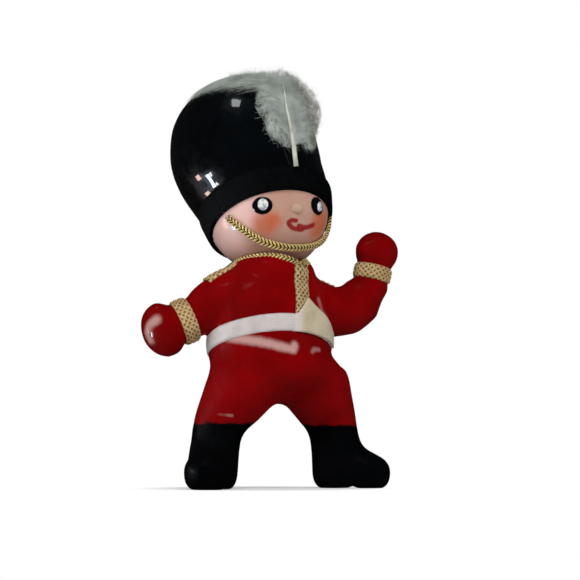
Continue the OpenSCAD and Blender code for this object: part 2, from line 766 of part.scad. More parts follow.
// A place on the torso at a height, at a turn from straight ahead, raised off the surface
function waist_point(turn, out, z) =
    let (r = row_at(z)) [r[0] + (r[3] + out) * sin(turn), r[1] - (r[4] + out) * cos(turn), z];

// A strip of ribbon round the waist: each row holds its turn, its lower and its upper edge
module waist_strip(rows, out, closed) {
    ribbon([for (r = rows) waist_point(r[0], out, r[1])], [for (r = rows) waist_point(r[0], out, r[2])],
           [for (r = rows) waist_point(r[0], out + ribbon_t, r[2])],
           [for (r = rows) waist_point(r[0], out + ribbon_t, r[1])], closed);
}

module belt() {
    steps = 2 * form_sides;
    rows = [for (k = [0 : steps - 1]) let (turn = 360 * k / steps, z = belt_height(turn))
        [turn, z - belt_w / 2, z + belt_w / 2]];
    color(white) stood() waist_strip(rows, 3 * trim_gap, true);
}

// Turn of each place on the ribbon's lapped end, and its upper edge as a share over the belt's edge
tail_edge_shares = [[4, 0], [11, 0.02], [13, 0.5], [16, 1.05], [21, 0.75], [28, 0.42], [36, 0.26],
                    [44, 0.18], [54, 0.1], [64, 0.02]];

module belt_tail() {
    rows = [for (s = tail_edge_shares) let (z = belt_height(s[0]))
        [s[0], z - belt_w * 0.52, z + belt_w * (0.5 + s[1])]];
    color(cream) stood() waist_strip(rows, 4 * trim_gap + ribbon_t, false);
}

// Braid down the front of the jacket, from the collar cord to the belt
placket_x = placket_w * 0.54;
placket_top = neck_z - cord_d * 1.1;
placket_low = belt_height(0) + belt_w / 2 + trim_gap;
placket_lean = placket_w * 0.16;
module placket_braid() {
    color(gold) stood() difference() {
        intersection() {
            rotate([90, 0, 0]) linear_extrude(height = waist_d)
                polygon([[placket_x - placket_w / 2 - placket_lean, placket_low],
                         [placket_x + placket_w / 2 - 2 * placket_lean, placket_low],
                         [placket_x + placket_w / 2, placket_top],
                         [placket_x - placket_w / 2, placket_top]]);
            trunk_form(waist_row, by = trim_gap + braid_t);
        }
        trunk_form(waist_row, by = trim_gap);
    }
}

// Braid over a shoulder, from the collar cord towards the arm
module shoulder_braid(side, rows) {
    start = side * neck_x + collar_r + cord_r + 2 * trim_gap;
    color(gold) stood() difference() {
        intersection() {
            translate([side * start, -shoulder_braid_w / 2, shoulder_z])
                mirror([side > 0 ? 0 : 1, 0, 0])
                    cube([shoulder_braid_w * 1.9, shoulder_braid_w, beyond]);
            union() {
                trunk_form(waist_row, by = trim_gap + braid_t);
                limb(grown(part_of(rows, 0, 4), trim_gap + braid_t));
            }
        }
        trunk_form(waist_row, by = trim_gap);
        limb(grown(part_of(rows, 0, 4), trim_gap));
    }
}
module right_shoulder_braid() shoulder_braid(-1, low_arm_rows);
module left_shoulder_braid() shoulder_braid(1, high_arm_rows);

// Woven braid round a wrist
module cuff(mid, way) {
    color(gold) stood() difference() {
        rod(mid, way, wrist_d + 2 * trim_gap + 2 * braid_t, cuff_w);
        rod(mid, way, wrist_d + 2 * trim_gap, cuff_w + cut);
    }
}
module right_cuff() cuff(low_wrist, low_way);
module left_cuff() cuff(high_wrist, high_way);

torso();
right_arm();
left_arm();
right_leg();
left_leg();
right_boot();
left_boot();
head();
nose();
right_eye();
left_eye();
right_eye_dot();
left_eye_dot();
hat();
hat_band();
plume_quill();
plume_down();
chin_cord();
collar_cord();
right_shoulder_braid();
left_shoulder_braid();
placket_braid();
belt();
belt_tail();
right_cuff();
left_cuff();
neck_peg();
right_arm_pin();
left_arm_pin();
right_leg_pin();
left_leg_pin();
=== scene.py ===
"""Looks of the toy soldier figure: a varnished, hand-modelled guardsman with gold braid,
a ribbon belt and a real down feather on his hat."""

import random
from math import asin, atan2, cos, degrees, exp, floor, pi, radians, sin, sqrt

import bmesh
import bpy
from mathutils import Matrix, Vector, noise
from mathutils.bvhtree import BVHTree
from mathutils.kdtree import KDTree


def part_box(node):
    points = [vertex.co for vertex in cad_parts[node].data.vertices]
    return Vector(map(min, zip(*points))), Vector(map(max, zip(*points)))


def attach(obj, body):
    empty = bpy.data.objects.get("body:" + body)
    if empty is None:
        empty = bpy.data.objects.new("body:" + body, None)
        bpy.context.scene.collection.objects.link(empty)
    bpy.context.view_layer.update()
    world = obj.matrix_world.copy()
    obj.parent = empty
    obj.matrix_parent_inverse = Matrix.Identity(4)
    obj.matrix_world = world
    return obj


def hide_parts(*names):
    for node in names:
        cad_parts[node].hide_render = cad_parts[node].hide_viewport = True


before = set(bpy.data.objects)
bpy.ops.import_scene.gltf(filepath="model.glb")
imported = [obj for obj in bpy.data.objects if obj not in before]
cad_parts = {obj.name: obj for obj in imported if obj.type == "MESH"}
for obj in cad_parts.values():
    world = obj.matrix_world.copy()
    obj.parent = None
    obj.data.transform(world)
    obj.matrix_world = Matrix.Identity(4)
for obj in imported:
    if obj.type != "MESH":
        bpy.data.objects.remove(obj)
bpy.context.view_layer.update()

bl_info = {
    "name": "Toy soldier figure",
    "version": (1, 0, 0),
    "blender": (4, 5, 0),
    "location": "3D View > Sidebar > Soldier",
    "description": "Builds a varnished guardsman figure round its CAD frame",
    "category": "Object",
}

MM = 0.001

# Places of the CAD frame in millimetres, about the waist, and the middle of its box
CENTRE = Vector((1.38, 5.07, 0))
BOOT_H = 14.7
HAND_LOW = 29.8
HIP_MID = Vector((2.5, -1.6, 20))
HIP_SEAM = radians(32)
HIP_TOP = 30
WAIST_SIDE = 15.9
WAIST_LOW = 31.2
ARM_SEAM = radians(21)
NECK_SEAT = Vector((0.6, 0.2, 53))
NECK_TILT = radians(6)
HEAD_R = 14.9
HEAD_RISE = 13.6
HAT_TILT = radians(5)
HAT_ROLL = radians(7.5)
HAT_R = 18.3
HAT_H = 34
RIM_LEAN = radians(20)
RIM_DROP = 4.5
RIM_LOW_R = 14.79
BAND_TOP = 1.45
BAND_TOP_R = 16.05
BULGE = Vector((-1.1, 2.4, 0))
CORD_R = 0.85
CHIN_R = 15.81
COLLAR_R = 9.0
LOW_WRIST = Vector((-20.69, 2.9, 38.54))
LOW_WAY = Vector((-0.877, 0.267, -0.399)).normalized()
HIGH_WRIST = Vector((26.94, -4.98, 52.37))
HIGH_WAY = Vector((0.185, -0.107, 0.977)).normalized()
WRIST_R = 4.7
WRIST_PINCH = 0.87
CUFF_W = 3.7
BELT_Z = 31.6
BELT_RISE = 6.4
BELT_LEAD = radians(6)
BELT_W = 4.0
TAIL_TURN = -3
TAIL_SPAN = 67
PLACKET_W = 4.3
SHOULDER_W = 3.6

# Height of the paint's brush strokes; rounds of smoothing of the skin, and more where its dough
# was joined at the hips and the neck; strands across a braid and the height of its weave
STROKE_DEPTH = 0.02
SKIN_ROUNDS = 42
HIP_ROUNDS = 70
NECK_ROUNDS = 60
BRAID_STRANDS = 3
CUFF_WEAVE = 0.3
FLAT_WEAVE = 0.24
# A strand of the cords in its own radii: how far its ply lies to the side, how wide it winds and
# the length of a turn
PLY_SHIFT = 1.6
PLY_WIND = 0.85
PLY_PITCH = 6.4

HEAD_FRAME = (Matrix.Translation(NECK_SEAT) @ Matrix.Rotation(-NECK_TILT, 4, "X")
              @ Matrix.Translation((0, 0, HEAD_RISE)))
NECK_FRAME = Matrix.Translation(NECK_SEAT) @ Matrix.Rotation(-NECK_TILT, 4, "X")
HAT_FRAME = HEAD_FRAME @ Matrix.Rotation(-HAT_ROLL, 4, "Y") @ Matrix.Rotation(-HAT_TILT, 4, "X")
RIM_FRAME = HEAD_FRAME @ Matrix.Rotation(-RIM_LEAN, 4, "X")

# Turn and rise on the face, in degrees, of what is painted or set on it
RIGHT_EYE = (-34.5, -11.2)
LEFT_EYE = (23.5, -7.6)
NOSE = (-1.1, -13.4)
CHEEKS = [(-33.5, -28.5, 3.4), (-24, -24, 2.0), (34.5, -23, 4.8)]
UPPER_LIP = [(-1.2, -24.3), (-6.4, -24.9), (-8.8, -27.2), (-5, -30.8), (2.4, -32.3), (9, -31.4)]
LOWER_LIP = [(3, -29), (13, -29.2), (22.5, -25.4)]

# Pale marks painted on the red paint, mostly painted highlights where the varnish would catch the light,
# under the belt, on the thigh and on the lowered fist, and one a pale smear of varnish above the belt:
# where they run, their half width and how strongly they show; and where the varnish has pooled and shines,
# with the pool's radius
GLINTS_AND_SMEARS = [([(-13.9, -5.4, 34.4), (-11, -8.5, 33.8), (-8.4, -10, 33.4), (-5.8, -11, 32.9), (-3, -11.7, 32.2),
            (-0.3, -12, 31.7), (0.1, -12, 32.6)], 1.2, 0.85),
          ([(5, -11.3, 31.2), (5.6, -11.2, 32), (7.4, -10.5, 32.1)], 0.7, 0.4),
          ([(7.7, -10.3, 43.9), (8.9, -9.6, 41.2), (11.5, -7.3, 40)], 0.8, 0.3),
          ([(-13, -6.2, 16.5), (-14.7, -5.6, 16.7), (-16.2, -4.6, 16.9)], 0.45, 0.4),
          ([(-29.1, 0.5, 38.3), (-30.5, 1.8, 37), (-30.7, 2.9, 35.3), (-29.9, 2.5, 33.5)], 1.35, 0.75)]
POOLS = [((-27.5, 3, 36), 7)]


def colour(text):
    """Linear red, green and blue of an sRGB colour written as #rrggbb."""
    parts = [int(text[i:i + 2], 16) / 255 for i in (1, 3, 5)]
    return tuple(c / 12.92 if c <= 0.04045 else ((c + 0.055) / 1.055) ** 2.4 for c in parts)


def tint(name, description, text):
    return bpy.props.FloatVectorProperty(name=name, description=description, default=colour(text),
                                         subtype="COLOR", size=3, min=0, max=1)


def length(name, description, mm):
    return bpy.props.FloatProperty(name=name, description=description, default=mm * MM,
                                   unit="LENGTH", min=0, precision=5)


class SoldierColours(bpy.types.PropertyGroup):
    jacket: tint("Jacket", "Red paint of the jacket and the trousers", "#780104")
    jacket_deep: tint("Jacket, deep", "Red where the paint lies thick", "#660102")
    boots: tint("Boots", "Black paint of the boots", "#050608")
    skin: tint("Skin", "Flesh paint of the head", "#b38c7b")
    blush: tint("Cheeks", "Orange red rubbed on the cheeks", "#b65833")
    lips: tint("Lips", "Dark red of the painted mouth", "#8a1f1c")
    hat: tint("Hat", "Black paint of the hat", "#030609")
    band: tint("Hat ribbon", "Black ribbon round the hat", "#020403")
    cord: tint("Gold cord", "Plaited gold thread", "#cda646")
    braid: tint("Gold braid", "Woven gold thread", "#b08848")
    satin: tint("Belt", "White satin ribbon", "#c3bab6")
    cream: tint("Ribbon end", "Cream ribbon with ridges", "#beb195")
    down: tint("Down", "Down of the feather", "#bdc6be")
    quill: tint("Quill", "Shaft of the feather", "#bfc1b3")


class SoldierSizes(bpy.types.PropertyGroup):
    skin_voxel: length("Skin detail", "Size of the body's surface detail", 0.45)
    hat_voxel: length("Hat detail", "Size of the hat's surface detail", 0.6)
    lump: length("Unevenness", "Height of the dough's hand-made unevenness", 0.14)
    strand: length("Strand", "Thickness of one strand of the gold cords", 0.58)
    braid_t: length("Braid", "Thickness of the gold braid", 0.6)
    ribbon_t: length("Ribbon", "Thickness of the ribbons", 0.45)
    barb_w: length("Barb", "Width of a barb of the down", 0.06)
    barbs: bpy.props.IntProperty(name="Barbs", description="Barbs of the down", default=26000, min=500)


def chosen(context):
    """The sizes and the colours set in the panel."""
    return context.scene.soldier_sizes, context.scene.soldier_colours


def place(x, y, z):
    """A place about the waist, in millimetres, as a point of the CAD frame in metres."""
    return (Vector((x, y, z)) - CENTRE) * MM


def spot(p):
    return place(p.x, p.y, p.z)


def on_ball(turn, rise, r):
    """A place on a ball of radius r: turned to the figure's left and raised, in degrees."""
    t, s = radians(turn), radians(rise)
    return Vector((r * cos(s) * sin(t), -r * cos(s) * cos(t), r * sin(s)))


def unit(x):
    """A share kept from 0 to 1."""
    return min(max(x, 0), 1)


def between(rows, x):
    """The numbers of a table at row x, or between two rows."""
    x = min(max(x, 0), len(rows) - 1.001)
    i = int(x)
    return [a + (b - a) * (x - i) for a, b in zip(rows[i], rows[i + 1])]


def looked_up(rows, x):
    """The numbers that follow the first one in a table's rows, where the first one is x."""
    for low, high in zip(rows, rows[1:]):
        if x <= high[0]:
            break
    share = (x - low[0]) / (high[0] - low[0])
    return [a + (b - a) * share for a, b in zip(low[1:], high[1:])]


# Meshes

def mesh_object(name, bm, body, nodes, material):
    """The finished piece: rides a body, stands for CAD nodes and takes its material."""
    mesh = bpy.data.meshes.new(name)
    bm.to_mesh(mesh)
    bm.free()
    mesh.shade_smooth()
    obj = bpy.data.objects.new(name, mesh)
    bpy.context.scene.collection.objects.link(obj)
    mesh.materials.append(material)
    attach(obj, body)
    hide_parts(*nodes)
    return obj


def fill(bm):
    """Fills the open ends."""
    edges = [e for e in bm.edges if e.is_boundary]
    if edges:
        bmesh.ops.holes_fill(bm, edges=edges, sides=0)


def close(bm):
    """Fills the open ends and turns the faces outwards."""
    fill(bm)
    bmesh.ops.recalc_face_normals(bm, faces=bm.faces)


def laid(bm_into, across, along, lay, span=(1, 1)):
    """Adds a grid laid by lay(u, v), u once round the section and v along, with span as the
    millimetres of its UV map each way."""
    bm = bmesh.new()
    bmesh.ops.create_grid(bm, x_segments=across, y_segments=along, size=1)
    uv = bm.loops.layers.uv.new("UVMap")
    shares = {v: ((v.co.x + 1) / 2, (v.co.y + 1) / 2) for v in bm.verts}
    for face in bm.faces:
        for loop in face.loops:
            s = shares[loop.vert]
            loop[uv].uv = (s[0] * span[0], s[1] * span[1])
    for v, s in shares.items():
        v.co = lay(*s)
    bmesh.ops.remove_doubles(bm, verts=bm.verts, dist=1e-7)
    close(bm)
    mesh = bpy.data.meshes.new("laid")
    bm.to_mesh(mesh)
    bm.free()
    bm_into.from_mesh(mesh)
    bpy.data.meshes.remove(mesh)


def smooth_route(points, steps):
    """Points on a smooth curve through a few chosen ones."""
    n = len(points)
    route = []
    for i in range(n - 1):
        a, b = points[max(i - 1, 0)], points[i]
        c, d = points[i + 1], points[min(i + 2, n - 1)]
        for k in range(steps):
            t = k / steps
            route.append((2 * b + (c - a) * t + (2 * a - 5 * b + 4 * c - d) * t * t
                          + (3 * b - a - 3 * c + d) * t ** 3) / 2)
    return route + [points[-1]]


def along_route(route, v):
    """Place and direction at share v of a route."""
    n = len(route) - 1
    x = unit(v) * n
    i = min(int(x), n - 1)
    way = (route[min(i + 2, n)] - route[max(i - 1, 0)]).normalized()
    return route[i].lerp(route[i + 1], x - i), way


def even_route(route, count):
    """The same route with count evenly spaced steps, and its length."""
    lengths = [0]
    for a, b in zip(route, route[1:]):
        lengths.append(lengths[-1] + (b - a).length)
    result, k = [], 0
    for i in range(count + 1):
        want = lengths[-1] * i / count
        while k < len(route) - 2 and lengths[k + 1] < want:
            k += 1
        part = lengths[k + 1] - lengths[k]
        result.append(route[k].lerp(route[k + 1], (want - lengths[k]) / part if part else 0))
    return result, lengths[-1]


def twisted(bm, route, centre, hand, r):
    """A ply of two strands of radius r, wound to the right (1) or the left (-1) beside a route on
    a surface round a centre. Two such plies side by side look plaited."""
    fine, total = even_route(route, 240)
    pitch = PLY_PITCH * r
    for first in (0, pi):
        def lay(u, v, first=first):
            mid, way = along_route(fine, v)
            side = way.cross(mid - centre).normalized()
            up = side.cross(way)
            turn = (1 - hand) * pi / 2 + hand * (2 * pi * v * total / pitch + first)
            out = cos(turn) * side + sin(turn) * up
            spin = hand * 2 * pi * PLY_WIND / PLY_PITCH
            ahead = (way + spin * (cos(turn) * up - sin(turn) * side)).normalized()
            across = ahead.cross(out)
            core = mid + side * PLY_SHIFT * r * hand + out * PLY_WIND * r
            angle = 2 * pi * u
            tuck = min(1, 8 * v + 0.35, 8 * (1 - v) + 0.35)
            return spot(core + tuck * r * (cos(angle) * out + sin(angle) * across))
        laid(bm, 8, int(total * 8), lay, span=(2 * pi * r, total * 1.3))


def remeshed(nodes, voxel, rounds, extra=None):
    """One skin over merged copies of CAD nodes and what extra adds: remeshed in voxels and
    smoothed, its largest island only."""
    bm = bmesh.new()
    for node in nodes:
        bm.from_mesh(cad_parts[node].data)
    if extra:
        extra(bm)
    bmesh.ops.remove_doubles(bm, verts=bm.verts, dist=1e-6)
    mesh = bpy.data.meshes.new("draft")
    bm.to_mesh(mesh)
    bm.free()
    obj = bpy.data.objects.new("draft", mesh)
    bpy.context.scene.collection.objects.link(obj)
    remesh = obj.modifiers.new("Remesh", "REMESH")
    remesh.mode = "VOXEL"
    remesh.voxel_size = voxel
    smooth = obj.modifiers.new("Smooth", "SMOOTH")
    smooth.factor = 0.5
    smooth.iterations = rounds
    bpy.context.view_layer.update()
    done = obj.evaluated_get(bpy.context.evaluated_depsgraph_get())
    result = bmesh.new()
    result.from_mesh(done.to_mesh())
    done.to_mesh_clear()
    bpy.data.objects.remove(obj)
    bpy.data.meshes.remove(mesh)
    keep_largest(result)
    return result


def keep_largest(bm):
    """Deletes the inner skins of pin holes and bores."""
    left, islands = set(bm.verts), []
    while left:
        stack = [left.pop()]
        island = set(stack)
        while stack:
            for edge in stack.pop().link_edges:
                for v in edge.verts:
                    if v in left:
                        left.discard(v)
                        island.add(v)
                        stack.append(v)
        islands.append(island)
    best = max(islands, key=len)
    bmesh.ops.delete(bm, geom=[v for i in islands if i is not best for v in i], context="VERTS")


def soften(bm, top, bottom, rounds, reach=100):
    """Smooths a skin further between two heights, and no further to the sides than its reach, as a
    thumb does where dough was joined."""
    low, high = place(0, 0, bottom).z, place(0, 0, top).z
    band = [v for v in bm.verts if low < v.co.z < high and abs(v.co.x / MM + CENTRE.x) < reach]
    for _ in range(rounds):
        bmesh.ops.smooth_vert(bm, verts=band, factor=0.5, use_axis_x=True, use_axis_y=True,
                              use_axis_z=True)


def uneven(bm, height, size, swell=0.0):
    """Hand-made unevenness: lumps of a size and a height, in metres, over a small swelling."""
    bm.normal_update()
    moves = []
    for v in bm.verts:
        lump = noise.noise(v.co / size) + 0.35 * noise.noise(v.co / size * 2.7)
        moves.append(v.normal * (lump * height + swell))
    for v, move in zip(bm.verts, moves):
        v.co += move


def cut(bm, planes):
    """What a skin has on the inner side of planes, closed at each cut."""
    part = bm.copy()
    for middle, outwards in planes:
        bmesh.ops.bisect_plane(part, geom=part.verts[:] + part.edges[:] + part.faces[:], dist=1e-7,
                               plane_co=spot(middle), plane_no=outwards, clear_outer=True)
        fill(part)
    return part


def keep_normals(obj, whole):
    """Gives a cut piece the whole skin's normals, so that no seam shows in its varnish."""
    tree = KDTree(len(whole))
    for i, (co, normal) in enumerate(whole):
        tree.insert(co, i)
    tree.balance()
    normals = [whole[tree.find(v.co)[1]][1] for v in obj.data.vertices]
    obj.data.normals_split_custom_set_from_vertices(normals)


# Materials

def blank(name):
    """A new material with nodes."""
    material = bpy.data.materials.new(name)
    material.use_nodes = True
    return material


def rgba(c):
    return (*c[:3], 1)


def feed(node, **inputs):
    """Sets a node's inputs, or links them to sockets. The key i with a number is a place in its
    list of inputs."""
    for key, value in inputs.items():
        socket = node.inputs[int(key[1:]) if key[1:].isdigit() else key.replace("_", " ")]
        if isinstance(value, bpy.types.NodeSocket):
            node.id_data.links.new(value, socket)
        else:
            socket.default_value = rgba(value) if socket.type == "RGBA" else value


def add(near, kind, settings=None, **inputs):
    """Adds a node to the tree that something near is in, with its settings and its inputs."""
    made = near.id_data.nodes.new(kind)
    for key, value in (settings or {}).items():
        setattr(made, key, value)
    feed(made, **inputs)
    return made


def principled(material):
    return material.node_tree.nodes["Principled BSDF"]


def finished(material, **looks):
    """The material, with the inputs of its Principled shader set or linked."""
    feed(principled(material), **looks)
    return material


def coords(material, which="Object"):
    return add(principled(material), "ShaderNodeTexCoord").outputs[which]


def axis(where, number):
    """One number of a place: 0, 1 or 2 for x, y or z."""
    return add(where, "ShaderNodeSeparateXYZ", Vector=where).outputs[number]


def grain(where, size_mm, detail=3.0):
    """Noise whose features are about size_mm across, read in metres."""
    return add(where, "ShaderNodeTexNoise", Vector=where, Scale=1 / (size_mm * MM), Detail=detail,
               Roughness=0.55).outputs["Fac"]


def bands(where, width_mm, distortion, detail, direction="X", **inputs):
    """Soft stripes about width_mm wide on a UV map in millimetres."""
    return add(where, "ShaderNodeTexWave", {"bands_direction": direction}, Vector=where,
               Scale=1 / width_mm / 3.2, Distortion=distortion, Detail=detail, **inputs).outputs["Fac"]


def stretched(where, **inputs):
    """A place scaled or turned before a pattern is read there."""
    return add(where, "ShaderNodeMapping", Vector=where, **inputs).outputs[0]


def ramp(value, stops):
    """A colour ramp from (place, colour) stops."""
    made = add(value, "ShaderNodeValToRGB", Fac=value)
    elements = made.color_ramp.elements
    while len(elements) < len(stops):
        elements.new(0.5)
    for element, (where, shade) in zip(elements, stops):
        element.position = where
        element.color = rgba(shade)
    return made.outputs["Color"]


def spread(value, low, high, to_low=0.0, to_high=1.0):
    """Value spread smoothly from one range to another."""
    made = add(value, "ShaderNodeMapRange", {"interpolation_type": "SMOOTHSTEP"}, Value=value,
               From_Min=low, From_Max=high, To_Min=to_low, To_Max=to_high)
    return made.outputs["Result"]


def reckoned(operation, a, b=0.0):
    return add(a, "ShaderNodeMath", {"operation": operation}, i0=a, i1=b).outputs[0]


def plus(a, b, times=1.0):
    """One value and another one taken so many times."""
    return add(b, "ShaderNodeMath", {"operation": "MULTIPLY_ADD"}, i0=b, i1=times, i2=a).outputs[0]


def vectors(near, operation, output=0, **inputs):
    return add(near, "ShaderNodeVectorMath", {"operation": operation}, **inputs).outputs[output]


def distance(a, b):
    return vectors(a, "DISTANCE", "Value", i0=a, i1=b)


def blend(share, a, b):
    """Mix of two colours by a share."""
    return add(share, "ShaderNodeMix", {"data_type": "RGBA"}, i0=share, i6=a, i7=b).outputs[2]


def bump(height, depth_mm, **under):
    """Normals raised by a height, over those given under it."""
    return add(height, "ShaderNodeBump", Height=height, Distance=depth_mm * MM, **under).outputs["Normal"]


def varnished_paint(name, base, deep, gloss=0.2, varnish=0.7, lump=0.05, shine=0.5, pools=(), glints_and_smears=(),
                    hem=None):
    """Brushed acrylic paint under thick varnish on air-dried dough: the eye sees a deep colour, darker
    where it lies thick, shining where the varnish pooled, with pale pink marks along given strokes, mostly
    painted highlights, the rest pale varnish smeared on. Over a hem at a height, the black paint below has
    run into it."""
    material = blank(name)
    where = coords(material)
    shade = ramp(grain(where, 9, detail=4), [(0.35, deep), (0.62, base)])
    frayed = grain(where, 0.9, detail=4)
    # Pale pink along given strokes: mostly painted highlights where the varnish would catch the light, one
    # a pale smear on the paint
    for points, half, strength in glints_and_smears:
        gap = stroke_distance(where, [place(*p) for p in points])
        gap = plus(gap, frayed, half * 0.5 * MM)
        share = spread(gap, half * 1.6 * MM, half * 0.5 * MM, 0, strength)
        shade = blend(share, shade, colour("#b9918a"))
    if hem:
        ragged = plus(axis(where, 2), grain(where, 2.2, detail=4), 3 * MM)
        run = spread(ragged, (hem + 2.3) * MM, (hem + 1.1) * MM)
        shade = blend(run, shade, colour("#0c0404"))
    coat = varnish
    for middle, radius in pools:
        gap = distance(where, place(*middle))
        coat = plus(coat, spread(gap, radius * 1.2 * MM, radius * 0.8 * MM, 0, 0.2))
    worn = spread(grain(where, 3), 0.3, 0.7, gloss * 0.7, gloss * 1.5)
    lumps = bump(grain(where, 2.6, detail=2), lump)
    strokes = grain(stretched(where, Scale=(1, 1, 0.25)), 0.5, detail=2)
    return finished(material, Base_Color=shade, Roughness=worn, Specular_IOR_Level=shine,
                    Coat_Weight=coat, Coat_Roughness=0.06,
                    Normal=bump(strokes, STROKE_DEPTH, Normal=lumps))


def stroke_distance(where, points):
    """Distance from a painted stroke: the nearest of the short straight runs between its points."""
    nearest = None
    for a, b in zip(points, points[1:]):
        run = b - a
        offset = vectors(where, "SUBTRACT", i0=where, i1=a)
        dot = vectors(where, "DOT_PRODUCT", "Value", i0=offset, i1=run / run.length_squared)
        share = add(where, "ShaderNodeClamp", Value=dot).outputs[0]
        gap = distance(offset, vectors(where, "SCALE", i0=run, Scale=share))
        nearest = gap if nearest is None else reckoned("MINIMUM", nearest, gap)
    return nearest


def face_paint(c):
    """Flesh paint with rubbed cheeks and a brushed mouth, under varnish: the eye sees a warm,
    slightly blotchy skin and the brush's soft edges."""
    material = blank("varnished_face_paint")
    where = coords(material)
    shade = ramp(grain(where, 5, detail=4), [(0.3, colour("#ab8272")), (0.7, c.skin)])
    # The skin is made darker towards the bottom of the head, and lighter on the head's right side as a
    # painted highlight
    for number, start, end, most, other in ((2, 61, 55, 0.7, "#966a58"), (0, -7, -13, 1, "#dab2aa")):
        share = spread(axis(where, number), start * MM, end * MM, 0, most)
        shade = blend(share, shade, colour(other))
    rough_edge = grain(where, 1.6)
    for turn, rise, wide in CHEEKS:
        gap = plus(distance(where, on_head(turn, rise)), rough_edge, 1.6 * MM)
        rub = spread(gap, (wide + 1.8) * MM, wide * 0.55 * MM, 0, 0.8)
        shade = blend(rub, shade, c.blush)
    lip_edge = grain(where, 0.9, detail=1)
    for points in (UPPER_LIP, LOWER_LIP):
        gap = stroke_distance(where, [on_head(*p) for p in smooth_pairs(points)])
        gap = plus(gap, lip_edge, 0.3 * MM)
        shade = blend(spread(gap, 0.95 * MM, 0.5 * MM), shade, c.lips)
    lumps = bump(grain(where, 3.2, detail=2), 0.05)
    return finished(material, Base_Color=shade, Roughness=0.4, Specular_IOR_Level=0.3, Coat_Weight=0.3,
                    Coat_Roughness=0.12,
                    Normal=bump(grain(where, 0.35), 0.008, Normal=lumps))


def on_head(turn, rise):
    """A place on the head's skin, as a point of the frame."""
    return spot(HEAD_FRAME @ on_ball(turn, rise, HEAD_R))


def smooth_pairs(pairs):
    """Turn and rise pairs on a smooth curve through a few chosen ones."""
    return [(p.x, p.y) for p in smooth_route([Vector((*pair, 0)) for pair in pairs], 2)]


def scaled(c, share):
    return tuple(share * x for x in c)


def bead_paint(name, base, gloss, specks):
    """Drop of gloss paint: the eye sees a hard shine, and small specks in the white."""
    material = blank(name)
    where = coords(material)
    shade = ramp(grain(where, 1.1), [(0.42, specks), (0.56, base)])
    return finished(material, Base_Color=shade, Roughness=gloss, Coat_Weight=0.8, Coat_Roughness=0.04,
                    Normal=bump(grain(where, 0.8), 0.02))


def metal_thread(name, base, gap_shade, thread_mm, weave_mm=0.0, groove_mm=0.0):
    """Yarn wrapped in gilt foil: the eye sees fine bright turns of foil, painted lighter on their crests
    and in flecks as painted highlights, with painted brown shade in the gaps of the weave or along the
    grooves between strands."""
    material = blank(name)
    where = coords(material, "UV")
    turns = bands(where, thread_mm, 1.2, 2.0, "DIAGONAL", Detail_Scale=1.4)
    flecks = grain(coords(material), 0.45)
    height = plus(plus(0, turns, 0.5), flecks, 0.7)
    if weave_mm:
        crossed = [bands(stretched(where, Rotation=(0, 0, lean)), weave_mm, 0.8, 1.0)
                   for lean in (pi / 4, -pi / 4)]
        highest = reckoned("MAXIMUM", *crossed)
        height = plus(height, spread(highest, 0.25, 0.85, -0.28, 0.12))
    # Painted shade: each strand is darker on its inner side, towards the groove between strands
    if groove_mm:
        angle = reckoned("MULTIPLY", axis(where, 0), 2 * pi / groove_mm)
        lit = reckoned("COSINE", angle)
        height = plus(height, spread(lit, 0, 0.9, -0.6, 0.18))
    # Painted highlights and shade: the highest turns and flecks go light and near white, the gaps go dark
    # brown
    light = [min(1, x) for x in scaled(base, 1.9)]
    shade = ramp(height, [(0.24, gap_shade), (0.5, base), (0.68, light), (0.84, colour("#f6e6bd"))])
    return finished(material, Base_Color=shade, Metallic=0.4,
                    Roughness=spread(flecks, 0.3, 0.7, 0.28, 0.5),
                    Normal=bump(turns, 0.05))


def satin(name, base, grey, ridge_mm, ridge_depth, sheen, lead=None):
    """Woven ribbon: the eye sees a soft lengthwise sheen and fine ridges, with grey painted shade in soft
    patches and between the ridges; with a lead it starts in that colour."""
    material = blank(name)
    where = coords(material, "UV")
    ridges = bands(where, ridge_mm, 0.4, 1.0)
    # Painted shade: soft grey patches, and grey between the ridges
    shade_patches = grain(coords(material), 3, detail=4)
    shade = ramp(plus(shade_patches, ridges, 0.35), [(0.35, grey), (0.8, base)])
    if lead:
        shade = blend(spread(axis(where, 1), 3.5, 0.5), shade, lead)
    folds = grain(coords(material), 1.8)
    return finished(material, Base_Color=shade, Roughness=0.5, Sheen_Weight=sheen, Anisotropic=0.4,
                    Normal=bump(folds, 0.05, Normal=bump(ridges, ridge_depth)))


def ribbed_ribbon(base):
    """Matte black grosgrain: the eye sees fine cross ribs that barely catch the light."""
    material = blank("black_grosgrain_ribbon")
    where = coords(material)
    shade = ramp(grain(where, 1.2, detail=4), [(0.3, base), (0.75, colour("#07080b"))])
    return finished(material, Base_Color=shade, Roughness=0.8, Specular_IOR_Level=0.12,
                    Normal=bump(grain(where, 0.25), 0.02))


def down_fibre(base):
    """Down barbs: the eye sees matt, soft grey-green fibres with darker patches of painted shade, browner
    on one side, paler at the tips.
    """
    material = blank("feather_down_barbs")
    where = coords(material)
    # Painted shade: darker patches in the down
    shade = ramp(grain(where, 3.2, detail=4), [(0.32, scaled(base, 0.6)), (0.62, base)])
    side = spread(axis(where, 0), 1 * MM, 9 * MM, 0, 0.75)
    shade = blend(side, shade, colour("#777059"))
    tips = spread(axis(coords(material, "UV"), 1), 0.3, 1.0, 0, 0.35)
    shade = blend(tips, shade, colour("#c9cdc2"))
    return finished(material, Base_Color=shade, Roughness=0.9, Specular_IOR_Level=0.1)


def horn(base):
    """Feather shaft: the eye sees smooth off-white horn, greyer in patches."""
    material = blank("feather_shaft_horn")
    where = coords(material)
    shade = ramp(grain(where, 2.5), [(0.3, scaled(base, 0.6)), (0.65, base)])
    return finished(material, Base_Color=shade, Roughness=0.38,
                    Normal=bump(grain(where, 0.3), 0.01))


